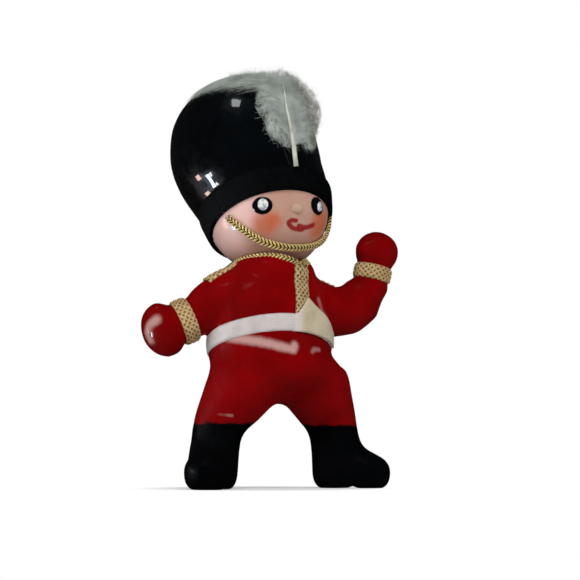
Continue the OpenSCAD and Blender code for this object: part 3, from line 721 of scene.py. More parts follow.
def turned_wood():
    """Birch dowel: the eye sees pale wood with fine long grain."""
    material = blank("birch_dowel")
    streaks = stretched(coords(material), Scale=(6, 6, 0.5))
    shade = ramp(grain(streaks, 3, detail=5),
                 [(0.3, colour("#b08a58")), (0.7, colour("#d8bc8c"))])
    return finished(material, Base_Color=shade, Roughness=0.6,
                    Normal=bump(grain(streaks, 1), 0.02))


def drawn_wire():
    """Drawn steel wire: the eye sees bright metal with faint lengthwise scratches."""
    material = blank("drawn_steel_wire")
    where = coords(material)
    worn = spread(grain(where, 0.4, detail=4), 0.3, 0.7, 0.22, 0.4)
    return finished(material, Base_Color=colour("#b8babd"), Metallic=1, Roughness=worn,
                    Normal=bump(grain(where, 0.2), 0.004))


# The painted body

BODY_NODES = ["torso", "right_arm", "left_arm", "right_leg", "left_leg", "right_boot", "left_boot"]
body_skin = {}


def seam_planes():
    """Planes between the body's mouldings: middle and direction, one of each pair for each side."""
    arm = {s: (Vector((s * WAIST_SIDE, 0, WAIST_LOW)), Vector((s * cos(ARM_SEAM), 0, sin(ARM_SEAM))))
           for s in (-1, 1)}
    leg = {s: (HIP_MID, Vector((-s * sin(HIP_SEAM), 0, cos(HIP_SEAM)))) for s in (-1, 1)}
    return arm, leg


def flipped(plane):
    return plane[0], -plane[1]


def collar_dip(turn):
    """How far the neckline sinks at a turn, in degrees: most over the jacket's braid."""
    gap = (turn - 14 + 180) % 360 - 180
    return 1.53 * exp(-(gap / 26) ** 2)


def neckline(bm):
    """Adds the roll of dough that carries the collar cord."""
    made = bmesh.ops.create_cone(bm, segments=72, cap_ends=True, radius1=COLLAR_R + 2.4,
                                 radius2=COLLAR_R + 0.7, depth=4)
    for v in made["verts"]:
        p = v.co + Vector((0, 0, -1.7))
        p.z -= collar_dip(degrees(atan2(p.x, -p.y)))
        v.co = spot(NECK_FRAME @ p)


def pinch(v):
    """Draws the skin in under the raised cuff, where the braid squeezes the dough."""
    away = v.co / MM + CENTRE - HIGH_WRIST
    along = away.dot(HIGH_WAY)
    across = away - HIGH_WAY * along
    if across.length < 2 * WRIST_R:
        share = (1 - WRIST_PINCH) * exp(-(along / CUFF_W * 1.3) ** 4)
        v.co -= across * share * MM


class SOLDIER_OT_body(bpy.types.Operator):
    """Builds the painted torso, arms, legs and boots as one varnished skin, cut at its seams"""
    bl_idname = "soldier.body"
    bl_label = "Body"

    def execute(self, context):
        sizes, c = chosen(context)
        whole = remeshed(BODY_NODES, sizes.skin_voxel, SKIN_ROUNDS, neckline)
        soften(whole, HIP_TOP, BOOT_H - 5, HIP_ROUNDS)
        soften(whole, NECK_SEAT.z - 1.2, NECK_SEAT.z - 8, NECK_ROUNDS, reach=COLLAR_R + 6)
        uneven(whole, sizes.lump, 6 * MM, swell=0.1 * MM)
        for v in whole.verts:
            v.co.z = max(v.co.z, 0)
            pinch(v)
        whole.normal_update()
        kept = [(v.co.copy(), v.normal.copy()) for v in whole.verts]
        body_skin["tree"] = BVHTree.FromBMesh(whole)
        arm, leg = seam_planes()
        boot_top = (Vector((0, 0, BOOT_H)), Vector((0, 0, 1)))
        under_hand = (Vector((0, 0, HAND_LOW)), Vector((0, 0, -1)))
        middle = {s: (HIP_MID, Vector((-s, 0, 0))) for s in (-1, 1)}
        red = varnished_paint("varnished_red_paint", c.jacket, c.jacket_deep, gloss=0.45, varnish=0.03,
                              shine=0.03, pools=POOLS, glints_and_smears=GLINTS_AND_SMEARS, hem=BOOT_H)
        black = varnished_paint("varnished_boot_paint", c.boots, scaled(c.boots, 0.5), gloss=0.45,
                                varnish=0, shine=0.04)
        parts = [
            ("painted_torso", "torso", [arm[-1], arm[1], flipped(leg[-1]), flipped(leg[1])], red),
            ("painted_right_arm", "right_arm", [flipped(arm[-1]), under_hand], red),
            ("painted_left_arm", "left_arm", [flipped(arm[1]), flipped(leg[1])], red),
            ("painted_right_leg", "right_leg", [leg[-1], middle[-1], arm[-1], flipped(boot_top)], red),
            ("painted_left_leg", "left_leg", [leg[1], middle[1], flipped(boot_top)], red),
            ("painted_right_boot", "right_boot", [boot_top, middle[-1]], black),
            ("painted_left_boot", "left_boot", [boot_top, middle[1]], black),
        ]
        for name, node, planes, paint in parts:
            slot = "boot_paint" if "boot" in name else "jacket_paint"
            obj = mesh_object(name, cut(whole, planes), "figure", [node], paint)
            keep_normals(obj, kept)
        whole.free()
        return {"FINISHED"}


# The head and its face

class SOLDIER_OT_head(bpy.types.Operator):
    """Builds the rolled ball of the head with its painted face, and the nose"""
    bl_idname = "soldier.head"
    bl_label = "Head"

    def execute(self, context):
        c = chosen(context)[1]
        bm = bmesh.new()
        bmesh.ops.create_uvsphere(bm, u_segments=128, v_segments=96, radius=HEAD_R)
        bmesh.ops.bisect_plane(bm, geom=bm.verts[:] + bm.edges[:] + bm.faces[:], dist=1e-5,
                               plane_co=(0, 0, -HEAD_RISE), plane_no=(0, 0, -1), clear_outer=True)
        for v in bm.verts:
            v.co = spot(HEAD_FRAME @ v.co)
        close(bm)
        uneven(bm, 0.05 * MM, 5 * MM)
        mesh_object("painted_head", bm, "head", ["head"], face_paint(c))

        bm = bmesh.new()
        bmesh.ops.create_uvsphere(bm, u_segments=40, v_segments=28, radius=1)
        out = on_ball(*NOSE, 1)
        turn = out.to_track_quat("Z", "Y").to_matrix().to_4x4()
        for v in bm.verts:
            flat = Vector((v.co.x * 1.42, v.co.y * 1.25, v.co.z * 0.75))
            v.co = spot(HEAD_FRAME @ (turn @ flat + out * (HEAD_R - 0.05)))
        close(bm)
        uneven(bm, 0.03 * MM, 1.5 * MM)
        # The nose is painted paler than the face: a painted highlight on the bump
        pale = varnished_paint("varnished_nose_paint", colour("#bfa48e"), colour("#ad8a75"), gloss=0.3,
                               varnish=0.4, lump=0.02)
        mesh_object("painted_nose", bm, "head", ["nose"], pale)
        return {"FINISHED"}


def drop(bm, at, wide, tall, lean, high, base):
    """A low round drop on the face: width, height and lean of its outline, and how far it stands."""
    bmesh.ops.create_uvsphere(bm, u_segments=48, v_segments=24, radius=1)
    out = on_ball(*at, 1)
    side = Vector((0, 0, 1)).cross(out).normalized()
    up = out.cross(side)
    for v in bm.verts:
        x, y = v.co.x * wide / 2, v.co.y * tall / 2
        x, y = x * cos(lean) - y * sin(lean), x * sin(lean) + y * cos(lean)
        ground = sqrt(max(base * base - x * x - y * y, 0))
        v.co = spot(HEAD_FRAME @ (side * x + up * y + out * (ground + v.co.z * high)))
    close(bm)


class SOLDIER_OT_eyes(bpy.types.Operator):
    """Builds the black drops of the eyes and the white drops on them"""
    bl_idname = "soldier.eyes"
    bl_label = "Eyes"

    def execute(self, context):
        ink = colour("#08080a")
        black = bead_paint("gloss_black_drop", ink, 0.15, scaled(ink, 0.6))
        white = bead_paint("gloss_white_drop", colour("#d9d7d3"), 0.12, colour("#8d949c"))
        for side, at, wide, dot_w, dot_h, lean, shift in (
                ("right", RIGHT_EYE, 4.75, 2.45, 2.75, 0.0, (0.7, 0.7)),
                ("left", LEFT_EYE, 4.9, 2.2, 2.5, -0.3, (1.9, -0.2))):
            bm = bmesh.new()
            drop(bm, at, wide, 4.1, lean, 0.38, HEAD_R + 0.1)
            mesh_object(side + "_eye_drop", bm, "head", [side + "_eye"], black)
            bm = bmesh.new()
            drop(bm, (at[0] + shift[0], at[1] + shift[1]), dot_w, dot_h, lean, 0.22, HEAD_R + 0.42)
            mesh_object(side + "_eye_white", bm, "head", [side + "_eye_dot"], white)
        return {"FINISHED"}


# The hat

class SOLDIER_OT_hat(bpy.types.Operator):
    """Builds the varnished hat and its ribbed ribbon"""
    bl_idname = "soldier.hat"
    bl_label = "Hat"

    def execute(self, context):
        sizes, c = chosen(context)
        bm = remeshed(["hat", "head"], sizes.hat_voxel, 50)
        uneven(bm, 0.16 * MM, 8 * MM, swell=0.12 * MM)
        out = (RIM_FRAME.to_3x3() @ Vector((0, 0, -1))).normalized()
        shell = cut(bm, [(RIM_FRAME @ Vector((0, 0, 0.15 - RIM_DROP)), out)])
        bm.free()
        paint = varnished_paint("varnished_hat_paint", c.hat, scaled(c.hat, 0.5), gloss=0.3,
                                varnish=0.85, lump=0.09, shine=0.12)
        mesh_object("painted_hat", shell, "head", ["hat"], paint)

        rib, ribs = sizes.ribbon_t / MM, 118

        def lay(u, v):
            turn = 2 * pi * u
            height = -RIM_DROP + (BAND_TOP + RIM_DROP) * v
            radius = RIM_LOW_R + (BAND_TOP_R - RIM_LOW_R) * v
            bow = 0.12 * (1 - (2 * v - 1) ** 4)
            groove = 0.055 * cos(turn * ribs)
            wave = 0.07 * sin(3 * turn + 1) + 0.05 * sin(7 * turn)
            r = radius + 0.1 + rib * 0.8 + bow + groove + wave * 0.4
            return spot(RIM_FRAME @ Vector((r * sin(turn), -r * cos(turn), height + wave)))

        bm = bmesh.new()
        laid(bm, ribs * 4, 8, lay, span=(2 * pi * BAND_TOP_R, BAND_TOP + RIM_DROP))
        bmesh.ops.delete(bm, geom=[f for f in bm.faces if len(f.verts) > 4], context="FACES")
        bmesh.ops.solidify(bm, geom=bm.faces[:], thickness=rib * 0.8 * MM)
        bmesh.ops.recalc_face_normals(bm, faces=bm.faces)
        mesh_object("grosgrain_hat_band", bm, "head", ["hat_band"],
                    ribbed_ribbon(c.band))
        return {"FINISHED"}


# Height, width and back shares of the hat above its ribbon, and the feather's rows on them
HAT_SHARES = [(0.26, 0.965, 0.90), (0.38, 0.995, 1.08), (0.50, 1.0, 1.10), (0.62, 0.975, 1.02),
              (0.73, 0.92, 0.92), (0.82, 0.83, 0.82), (0.90, 0.69, 0.74), (0.96, 0.49, 0.68),
              (1.0, 0.2, 0.64)]
# Turn of the down's two edges for each row of the hat, from the ribbon to the top
DOWN_EDGES = [(5, 24), (-9, 46), (-12, 58), (-15, 68), (-11, 74), (-20, 78), (-30, 78), (-40, 74),
              (-50, 66)]
# Row, turn and lift of the quill's places over the hat
QUILL = [(0.2, 3, 2.0), (1, 3.3, 2.4), (1.7, 3.3, 2.6), (2.4, 3.6, 2.6), (3.3, 6, 2.4), (4.4, 11, 1.9)]


def on_hat(row, turn, lift):
    """A place over the hat at a row, or between two, at a turn in degrees from straight ahead."""
    high, wide, back = between(HAT_SHARES, row)
    r, t = HAT_R * wide, radians(turn)
    p = Vector((BULGE.x * back + r * sin(t), BULGE.y * back - r * cos(t), HAT_H * high))
    out = (p - Vector((0, 0, HAT_H / 2))).normalized()
    return HAT_FRAME @ (p + out * lift)


class SOLDIER_OT_feather(bpy.types.Operator):
    """Builds the feather: its shaft and thousands of soft barbs"""
    bl_idname = "soldier.feather"
    bl_label = "Feather"

    def execute(self, context):
        sizes, c = chosen(context)
        rng = random.Random(7)
        noise.seed_set(7)
        front = HAT_FRAME @ Vector((0.2, -16.1, 5.1))
        shaft = smooth_route([front] + [on_hat(*p) for p in QUILL], 8)

        def lay(u, v):
            mid, way = along_route(shaft, v)
            side = way.cross(Vector((0, 1, 0))).normalized()
            up = side.cross(way)
            r = 0.62 * (1 - 0.75 * v)
            angle = 2 * pi * u
            return spot(mid + r * (cos(angle) * side + 0.8 * sin(angle) * up))

        bm = bmesh.new()
        laid(bm, 14, 90, lay, span=(3, 28))
        mesh_object("feather_shaft", bm, "head", ["plume_quill"], horn(c.quill))

        down = down_fibre(c.down)
        wide = sizes.barb_w / MM
        for name, share, makers in (("feather_down", 0.72, (fuzz,)),
                                    ("feather_down_wisps", 0.28, (barb, veil, veil))):
            strands = [makers[n % len(makers)](rng, wide) for n in range(int(sizes.barbs * share))]
            bm = bmesh.new()
            fibres(bm, strands)
            mesh_object(name, bm, "head", ["plume_down"], down)
        return {"FINISHED"}


def fibres(bm, strands):
    """Thin flat ribbons along strands of places, each with its width, narrowing to their tips. They
    are columns of one grid, of which every second one is cut out."""
    steps, columns = len(strands[0][0]) - 1, 2 * len(strands)
    bmesh.ops.create_grid(bm, x_segments=columns - 1, y_segments=steps, size=1)
    bm.verts.index_update()
    bm.verts.ensure_lookup_table()
    middle = HAT_FRAME @ Vector((0, 0, HAT_H / 2))
    for n, (points, wide) in enumerate(strands):
        for k, p in enumerate(points):
            way = points[min(k + 1, steps)] - points[max(k - 1, 0)]
            across = way.cross(p - middle).normalized() * wide * (1 - 0.7 * k / steps) / 2
            for side, q in enumerate((p - across, p + across)):
                bm.verts[k * columns + 2 * n + side].co = spot(q)
    uv = bm.loops.layers.uv.new("UVMap")
    between = []
    for face in bm.faces:
        for loop in face.loops:
            loop[uv].uv = (0, loop.vert.index // columns / steps)
        if min(v.index % columns for v in face.verts) % 2:
            between.append(face)
    bmesh.ops.delete(bm, geom=between, context="FACES")


def clumped(p, low, high):
    """Share of the down left at a place, by clumps, from 0 below a low to 1 over a high value."""
    clump = noise.noise(p / 3.1) + 0.5 * noise.noise(p / 1.4)
    return unit((clump - low) / (high - low))


def combed(p, out, rng, loose):
    """Way of a fibre: its tuft's own direction along the hat, a little off its neighbours'."""
    way = noise.noise_vector(p / 2.4) * 1.6 + Vector((0.1, 0, 0.55))
    way += Vector([rng.gauss(0, loose) for _ in range(3)])
    return (way - out * way.dot(out) * 0.85).normalized()


def swell(row, turn):
    """How far the down stands off the hat: most at the upper right."""
    return 0.8 + 2.5 * unit((turn - 4) / 36) * unit((row - 2) / 1.1) * unit((7.8 - row) / 1.6)


def fuzz(rng, wide):
    """A short soft fibre in the thick of the down."""
    while True:
        row = rng.uniform(0.35, 7.4)
        low, high = between(DOWN_EDGES, row)
        turn = rng.uniform(low - 3, high + 3)
        foot = 0.4 + max(turn - 24, 0) * 0.045
        edge = min((turn - low) / 12, (high - turn) / 10, (row - foot) / 0.9, (7.6 - row) / 1.5, 1)
        thin = 0.35 * max(0, 1 - abs(row - 1.2) / 1.2) * unit((turn - 8) / 10)
        p = on_hat(row, turn, 0)
        if edge > -0.35 and rng.random() < clumped(p, -0.45 - 0.5 * edge + thin, 0.3 - 0.5 * edge + thin):
            break
    edge = max(edge, 0)
    lift = 0.15 + swell(row, turn) * (0.25 + 0.75 * edge) * rng.random() ** 0.75
    p = on_hat(row, turn, lift)
    out = (p - HAT_FRAME @ Vector((0, 0, HAT_H / 2))).normalized()
    way = combed(p, out, rng, 0.35)
    curl = Vector([rng.gauss(0, 0.3) for _ in range(3)])
    step = rng.uniform(0.25, 0.6)
    points = [p]
    for _ in range(4):
        points.append(points[-1] + way * step)
        way = (way + curl - out * 0.12).normalized()
    return points, wide * (0.6 + 0.5 * edge)


def barb(rng, wide):
    """A longer barb that leaves the shaft sideways and upwards."""
    row = rng.uniform(0.4, 4.8)
    side = rng.choice((-1, 1))
    low, high = between(DOWN_EDGES, row)
    reach = rng.uniform(0.2, 0.95) * ((high - 12) if side > 0 else (2 - low))
    climb = rng.uniform(0.3, 1.5)
    lift = rng.uniform(0.8, 2.5)
    sag = rng.uniform(0.4, 1)
    points = []
    for k in range(7):
        s = k / 6
        wave = 1.5 * noise.noise(Vector((row * 3, side * 5, 2 * s)))
        points.append(on_hat(row + climb * s ** sag, 4 + side * reach * s + wave, lift * (1 - 0.4 * s)))
    return points, wide


def veil(rng, wide):
    """A long fine fibre that lies close over the top of the hat towards its back."""
    start = rng.uniform(-60, 20)
    row = 5.4 + 2.5 * rng.random() ** 0.8 - max(start + 20, 0) * 0.03
    reach = rng.uniform(12, 50)
    lift = rng.uniform(0.1, 0.45)
    drop = rng.uniform(-0.5, 0.25)
    points = []
    for k in range(7):
        s = k / 6
        turn = max(start - reach * s, -118)
        points.append(on_hat(row + drop * s, turn, lift + 0.25 * noise.noise(Vector((start, row, s)))))
    return points, wide * 0.8


# Cords and braids

CHIN = [(-70, 0), (-67, 0.10), (-61, 0.28), (-53, 0.51), (-43, 0.74), (-29, 0.91), (-12, 1), (7, 1),
        (23, 0.93), (38, 0.79), (49, 0.59), (56, 0.37), (59.5, 0.12), (60.5, -0.14), (60, -0.24)]
CHIN_LOW = -49


def chin_route():
    """Places of the chin cord, from rim to rim of the hat."""
    first = radians(CHIN[0][0])
    rim = (HEAD_R * cos(first) * sin(RIM_LEAN) - RIM_DROP) / cos(RIM_LEAN)
    ends = degrees(asin((rim - CORD_R - 0.45) / CHIN_R))
    points = []
    for t, s in CHIN:
        loose = 0.12 * unit((t - 25) / 25) * unit(3 * s)
        points.append(HEAD_FRAME @ on_ball(t, ends + (CHIN_LOW - ends) * s, CHIN_R - 0.25 + loose))
    return smooth_route(points, 6)


def collar_route():
    """Places of the collar cord, laid on the jacket, whose ends run down onto its braid."""
    points = []
    for k in range(71):
        turn = 17 + 354 * k / 70
        gap = min(turn - 14, 374 - turn)
        ends = 1.4 * exp(-(gap / 6) ** 2)
        t, r = radians(turn), COLLAR_R + 0.7 * collar_dip(turn) + ends
        points.append(NECK_FRAME @ Vector((r * sin(t), -r * cos(t), 0.1 - collar_dip(turn) - ends)))
    return smooth_route(points, 2)


class SOLDIER_OT_cords(bpy.types.Operator):
    """Builds the plaited gold cords under the chin and round the neck"""
    bl_idname = "soldier.cords"
    bl_label = "Cords"

    def execute(self, context):
        sizes, c = chosen(context)
        r = sizes.strand / MM / 2
        gold = metal_thread("plaited_gilt_thread", c.cord, colour("#4a2f12"), 0.16, groove_mm=2 * pi * r)
        for name, node, body, route, centre in (
                ("plaited_chin_cord", "chin_cord", "head", chin_route(), HEAD_FRAME.translation),
                ("plaited_collar_cord", "collar_cord", "figure", collar_route(),
                 NECK_SEAT - Vector((0, 0, 7)))):
            bm = bmesh.new()
            for hand in (1, -1):
                twisted(bm, route, centre, hand, r)
            mesh_object(name, bm, body, [node], gold)
        return {"FINISHED"}


def plait(s, a):
    """Height of plaited strands, 0 to 1, at a place given in strands along both diagonals."""
    p, q = s + a, s - a
    if (floor(p) + floor(q)) % 2:
        p, q = q, p
    x, y = p - floor(p) - 0.5, q - floor(q) - 0.5
    return max(0.0, 1 - (2 * abs(x)) ** 2.5) * (0.75 + 0.25 * cos(2 * pi * y))


def strip(along, section, width, thick, length_mm, base, pattern, rise):
    """A flat strip with rounded edges laid on a surface. base(a, v) gives a place and the way out
    of the surface, with a from -1 to 1 across; pattern(x, y) the height of its weave, in mm."""
    def lay(u, v):
        top = u < 0.5
        a = 4 * u - 1 if top else 3 - 4 * u
        mid, out = base(a, v)
        round_off = 1 - abs(a) ** 6
        high = thick * (0.35 + 0.65 * round_off) + pattern(a * width / 2, v * length_mm) * round_off * rise
        return spot(mid + out * (high if top else 0.02))

    bm = bmesh.new()
    laid(bm, section, along, lay, span=(2 * width, length_mm))
    return bm


def skin_hit(start, way):
    """Where a ray meets the body's skin, and the way out of it; both in millimetres."""
    hit, normal, _, _ = body_skin["tree"].ray_cast(spot(start), way)
    if hit is None:
        raise RuntimeError(f"no skin under the trim at {tuple(start)}")
    return hit / MM + CENTRE, normal


def woven(width):
    """Height of a plaited braid of a width, as a pattern of places across and along it."""
    size = width / BRAID_STRANDS
    return lambda x, y: plait(y / size / 1.35, x / size)


class SOLDIER_OT_braids(bpy.types.Operator):
    """Builds the woven gold braid of the cuffs, the shoulders and the jacket's front"""
    bl_idname = "soldier.braids"
    bl_label = "Braids"

    def execute(self, context):
        sizes, c = chosen(context)
        gold = metal_thread("woven_gilt_braid", c.braid, colour("#5b3a1c"), 0.14, weave_mm=0.9)
        thick = sizes.braid_t / MM * 0.7
        for name, node, mid, way, r in (
                ("woven_right_cuff", "right_cuff", LOW_WRIST, LOW_WAY, WRIST_R),
                ("woven_left_cuff", "left_cuff", HIGH_WRIST, HIGH_WAY, WRIST_R * WRIST_PINCH)):
            side = way.cross(Vector((0, 1, 0))).normalized()
            up = way.cross(side)

            def base(a, v, mid=mid, way=way, side=side, up=up, r=r):
                t = 2 * pi * v
                out = cos(t) * side + sin(t) * up
                wobble = 0.08 * sin(2 * t + 1)
                return mid + way * (a * CUFF_W / 2) + out * (r + 0.02 + wobble), out

            bm = strip(264, 44, CUFF_W, thick, 2 * pi * r, base, woven(CUFF_W), CUFF_WEAVE)
            mesh_object(name, bm, "figure", [node], gold)

        low, high = (corner.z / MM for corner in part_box("placket_braid"))

        def front(a, v):
            z = high + 2.6 + (low - high - 2.5) * v
            x = 3.4 - 1.3 * v + a * PLACKET_W * (0.88 + 0.12 * cos(2 * v)) / 2
            return skin_hit(Vector((x, -40, z + 14)), Vector((0, 2, -1)).normalized())

        bm = strip(130, 40, PLACKET_W, thick, high - low, front, woven(PLACKET_W), FLAT_WEAVE)
        # The front braid takes the same gold braid, made darker
        darker_braid = metal_thread("woven_darker_gilt_braid", scaled(c.braid, 0.72), colour("#3c250f"), 0.14,
                            weave_mm=0.9)
        mesh_object("woven_placket_braid", bm, "figure", ["placket_braid"], darker_braid)

        for side in ("right", "left"):
            node = side + "_shoulder_braid"
            first, last = (corner.x / MM + CENTRE.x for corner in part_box(node))
            if side == "right":
                first, last = last, first

            def over(a, v, first=first, last=last):
                x = first + (last - first) * v
                return skin_hit(Vector((x, a * SHOULDER_W / 2 - 0.2, 80)), Vector((0, 0, -1)))

            bm = strip(70, 36, SHOULDER_W, thick, abs(last - first), over, woven(SHOULDER_W), FLAT_WEAVE)
            mesh_object("woven_" + node, bm, "figure", [node], gold)
        return {"FINISHED"}


# The belt

def belt_height(turn):
    return BELT_Z + BELT_RISE * ((1 + cos(turn + BELT_LEAD)) / 2) ** 1.5


# Height, middle sideways and forwards, half width and half depth of the trunk round the belt
TRUNK = [(26.9, 2.45, -1.12, 16.49, 12.42), (29.2, 1.8, -0.56, 16.24, 12.61), (31.2, 0.6, 0, 15.36, 12),
         (44, 0, 0, 15.9, 12), (45.8, 0.06, 0.02, 15.42, 11.64)]


def waist(turn, z, out):
    """Place on the trunk at a turn and a height, raised, and the way out of it."""
    x, y, wide, deep = looked_up(TRUNK, z)
    way = Vector((sin(turn) * deep, -cos(turn) * wide, 0)).normalized()
    return Vector((x + wide * sin(turn), y - deep * cos(turn), z)) + way * out, way


# Turn of places on the ribbon's end and its upper edge as a share over the belt's edge
TAIL_EDGE = [(-3, 0), (1, 0.04), (5, 0.32), (10, 0.78), (13.5, 1.12), (17, 0.98), (22, 0.78),
             (30, 0.56), (40, 0.34), (50, 0.14), (60, 0.02), (64, 0)]


class SOLDIER_OT_belt(bpy.types.Operator):
    """Builds the white satin belt and the cream end of its ribbon"""
    bl_idname = "soldier.belt"
    bl_label = "Belt"

    def execute(self, context):
        sizes, c = chosen(context)
        thick = sizes.ribbon_t / MM

        def round_waist(a, v):
            turn = 2 * pi * v
            ripple = 0.1 * sin(5 * turn + 2) + 0.06 * sin(11 * turn + a)
            z = belt_height(turn) + a * BELT_W / 2 + 0.12 * sin(3 * turn + 1)
            return waist(turn, z, 0.02 + ripple * 0.5 + 0.12 * (1 - a * a))

        bm = strip(240, 24, BELT_W, thick * 0.7, 90, round_waist, lambda x, y: 0, 0)
        white = satin("white_satin_ribbon", c.satin, colour("#a39c9a"), 0.35, 0.012, 0.5)
        mesh_object("satin_belt", bm, "figure", ["belt"], white)

        def lapped(a, v):
            turned = TAIL_TURN + TAIL_SPAN * v
            turn = radians(turned)
            low = belt_height(turn) - BELT_W * 0.52
            high = belt_height(turn) + BELT_W * (0.5 + looked_up(TAIL_EDGE, turned)[0])
            ripple = 0.12 * sin(4 * v * pi)
            return waist(turn, low + (high - low) * (a + 1) / 2, 0.55 * min(8 * v, 1) + ripple - 0.05)

        bm = strip(120, 30, BELT_W * 1.2, thick * 0.6, 17, lapped,
                   lambda x, y: 0.5 + 0.5 * cos(2 * pi * x / 0.62), 0.1)
        cream = satin("cream_grosgrain_ribbon", c.cream, colour("#988b70"), 0.3, 0.03, 0.2, lead=c.satin)
        mesh_object("ridged_belt_tail", bm, "figure", ["belt_tail"], cream)
        return {"FINISHED"}


class SOLDIER_OT_inside(bpy.types.Operator):
    """Gives the hidden neck peg and the wire pins their wood and steel"""
    bl_idname = "soldier.inside"
    bl_label = "Peg and pins"

    def execute(self, context):
        wood, wire = turned_wood(), drawn_wire()
        for node in ("neck_peg", "right_arm_pin", "left_arm_pin", "right_leg_pin", "left_leg_pin"):
            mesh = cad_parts[node].data
            mesh.materials.clear()
            mesh.materials.append(wood if node == "neck_peg" else wire)
        return {"FINISHED"}


# The stage

AZIMUTH, ELEVATION = radians(-30), radians(-8.5)
DISTANCE = 300
# Glints in the varnish: turn and rise of a card about the place that mirrors it, how far off it is,
# its power, width, height and tint
CARDS = [("window_high", -46, 55, (-12, -7, 90), 220, 0.06, (60, 36), "#e6ecf0"),
         ("window_low", -105, -32, (-15.6, -1.6, 70.7), 110, 0.075, (12, 22), "#cfe2fa"),
         ("wall_above", -96.5, -30, (-16.7, -2.1, 72.8), 110, 0.018, (10, 17), "#dcdcdc"),
         ("wall_below", -121, -21, (-15.8, 1, 69), 110, 0.022, (14, 22), "#e8c6bc")]
MM_PER_PIXEL = 0.24
PICTURE = 580
TARGET_PIXEL = (268, 277.5)
SENSOR = 36


def floor_paper():
    """White paper: it keeps the object's soft shadow near the feet and fades to plain white."""
    material = blank("white_paper_floor")
    paper = principled(finished(material, Base_Color=colour("#f6f6f6"), Roughness=0.9))
    gap = distance(coords(material), (0, 0, 0))
    fade = spread(gap, 16 * MM, 36 * MM)
    path = add(paper, "ShaderNodeLightPath").outputs["Is Camera Ray"]
    share = reckoned("MULTIPLY", path, spread(fade, 0, 1, 0.35, 1))
    glow = add(paper, "ShaderNodeEmission", Color=colour("#ffffff"), Strength=1.0).outputs[0]
    mix = add(paper, "ShaderNodeMixShader", i0=share, i1=paper.outputs[0], i2=glow).outputs[0]
    feed(material.node_tree.nodes["Material Output"], Surface=mix)
    return material


def lamp(name, where, target, energy, size, shade="#ffffff"):
    """A soft rectangular lamp at a place, in millimetres, that looks at a target."""
    data = bpy.data.lights.new(name, "AREA")
    data.energy = energy
    data.color = colour(shade)
    data.shape = "RECTANGLE"
    data.size, data.size_y = (s * MM for s in size)
    obj = bpy.data.objects.new(name, data)
    bpy.context.scene.collection.objects.link(obj)
    obj.location = spot(Vector(where))
    obj.rotation_euler = (Vector(where) - Vector(target)).to_track_quat("Z", "Y").to_euler()
    return obj


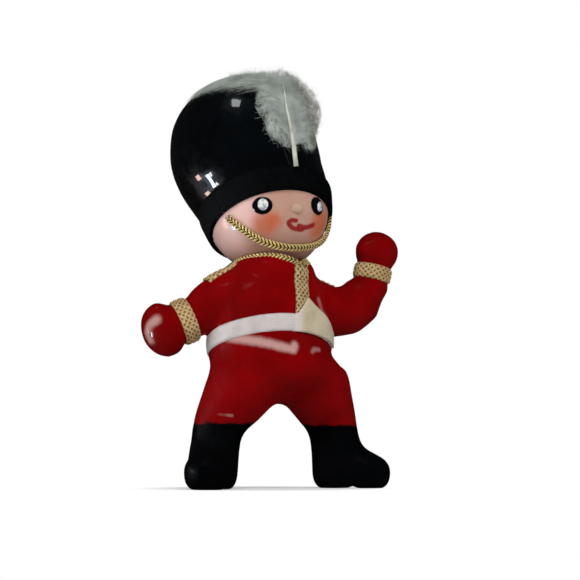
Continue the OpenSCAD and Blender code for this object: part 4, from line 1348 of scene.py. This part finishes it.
class SOLDIER_OT_stage(bpy.types.Operator):
    """Sets the camera of the photograph, soft studio light and a white floor"""
    bl_idname = "soldier.stage"
    bl_label = "Stage"

    def execute(self, context):
        scene = context.scene
        back = Vector((sin(AZIMUTH) * cos(ELEVATION), -cos(AZIMUTH) * cos(ELEVATION), sin(ELEVATION)))
        camera_data = bpy.data.cameras.new("camera")
        camera_data.sensor_width = SENSOR
        camera_data.lens = SENSOR * DISTANCE / MM_PER_PIXEL / PICTURE
        camera_data.shift_x = (PICTURE / 2 - TARGET_PIXEL[0]) / PICTURE
        camera_data.shift_y = (TARGET_PIXEL[1] - PICTURE / 2) / PICTURE
        camera_data.clip_start = 0.01
        camera_data.clip_end = 20
        camera = bpy.data.objects.new("camera", camera_data)
        scene.collection.objects.link(camera)
        camera.location = spot(Vector((0, 0, 50)) + back * DISTANCE)
        camera.rotation_euler = back.to_track_quat("Z", "Y").to_euler()
        scene.camera = camera

        for name, where, energy, size in (("key", (-200, -330, 330), 1.6, (300, 300)),
                                          ("fill", (340, -330, 120), 0.85, (300, 300)),
                                          ("side", (-330, -40, 60), 0.36, (160, 160))):
            soft = lamp(name, where, (0, 0, 45), energy, size)
            soft.visible_glossy = False
        for name, turn, rise, aim, far, energy, size, shade in CARDS:
            t, s = radians(turn), radians(rise)
            aim = Vector(aim)
            where = aim + far * Vector((sin(t) * cos(s), -cos(t) * cos(s), sin(s)))
            card = lamp(name, where, aim, energy, size, shade)
            card.visible_diffuse = False
            card.visible_camera = False
        self.world(scene)
        self.floor(scene)
        scene.view_settings.view_transform = "Standard"
        return {"FINISHED"}

    def world(self, scene):
        world = bpy.data.worlds.new("studio")
        world.use_nodes = True
        scene.world = world
        nodes = world.node_tree.nodes
        plain = nodes["Background"]
        feed(plain, Color=colour("#dfe3e8"), Strength=0.28)
        dim = add(plain, "ShaderNodeBackground", Color=colour("#7d7c78"), Strength=0.06)
        seen = add(plain, "ShaderNodeBackground", Color=colour("#ffffff"))
        path = add(plain, "ShaderNodeLightPath")
        lit = plain.outputs[0]
        for ray, other in (("Is Glossy Ray", dim), ("Is Camera Ray", seen)):
            lit = add(plain, "ShaderNodeMixShader", i0=path.outputs[ray], i1=lit,
                      i2=other.outputs[0]).outputs[0]
        feed(nodes["World Output"], Surface=lit)

    def floor(self, scene):
        bm = bmesh.new()
        bmesh.ops.create_grid(bm, x_segments=8, y_segments=8, size=2)
        mesh = bpy.data.meshes.new("floor")
        bm.to_mesh(mesh)
        bm.free()
        obj = bpy.data.objects.new("floor", mesh)
        scene.collection.objects.link(obj)
        mesh.materials.append(floor_paper())
        obj.visible_glossy = False


OPERATORS = (SOLDIER_OT_body, SOLDIER_OT_head, SOLDIER_OT_eyes, SOLDIER_OT_hat, SOLDIER_OT_feather,
             SOLDIER_OT_cords, SOLDIER_OT_braids, SOLDIER_OT_belt, SOLDIER_OT_inside, SOLDIER_OT_stage)


class SOLDIER_PT_panel(bpy.types.Panel):
    """Lists the figure's pieces, sizes and colours"""
    bl_idname = "SOLDIER_PT_panel"
    bl_label = "Toy soldier"
    bl_space_type = "VIEW_3D"
    bl_region_type = "UI"
    bl_category = "Soldier"

    def draw(self, context):
        layout = self.layout
        for operator in OPERATORS:
            layout.operator(operator.bl_idname)
        for group in chosen(context):
            for key in group.bl_rna.properties.keys():
                if key not in ("rna_type", "name"):
                    layout.prop(group, key)


CLASSES = (SoldierColours, SoldierSizes, *OPERATORS, SOLDIER_PT_panel)


def register():
    for item in CLASSES:
        bpy.utils.register_class(item)
    bpy.types.Scene.soldier_colours = bpy.props.PointerProperty(type=SoldierColours)
    bpy.types.Scene.soldier_sizes = bpy.props.PointerProperty(type=SoldierSizes)


def unregister():
    del bpy.types.Scene.soldier_sizes
    del bpy.types.Scene.soldier_colours
    for item in reversed(CLASSES):
        bpy.utils.unregister_class(item)


def main():
    register()
    bpy.ops.soldier.body()
    bpy.ops.soldier.head()
    bpy.ops.soldier.eyes()
    bpy.ops.soldier.hat()
    bpy.ops.soldier.feather()
    bpy.ops.soldier.cords()
    bpy.ops.soldier.braids()
    bpy.ops.soldier.belt()
    bpy.ops.soldier.inside()
    bpy.ops.soldier.stage()


if __name__ == "__main__":
    main()
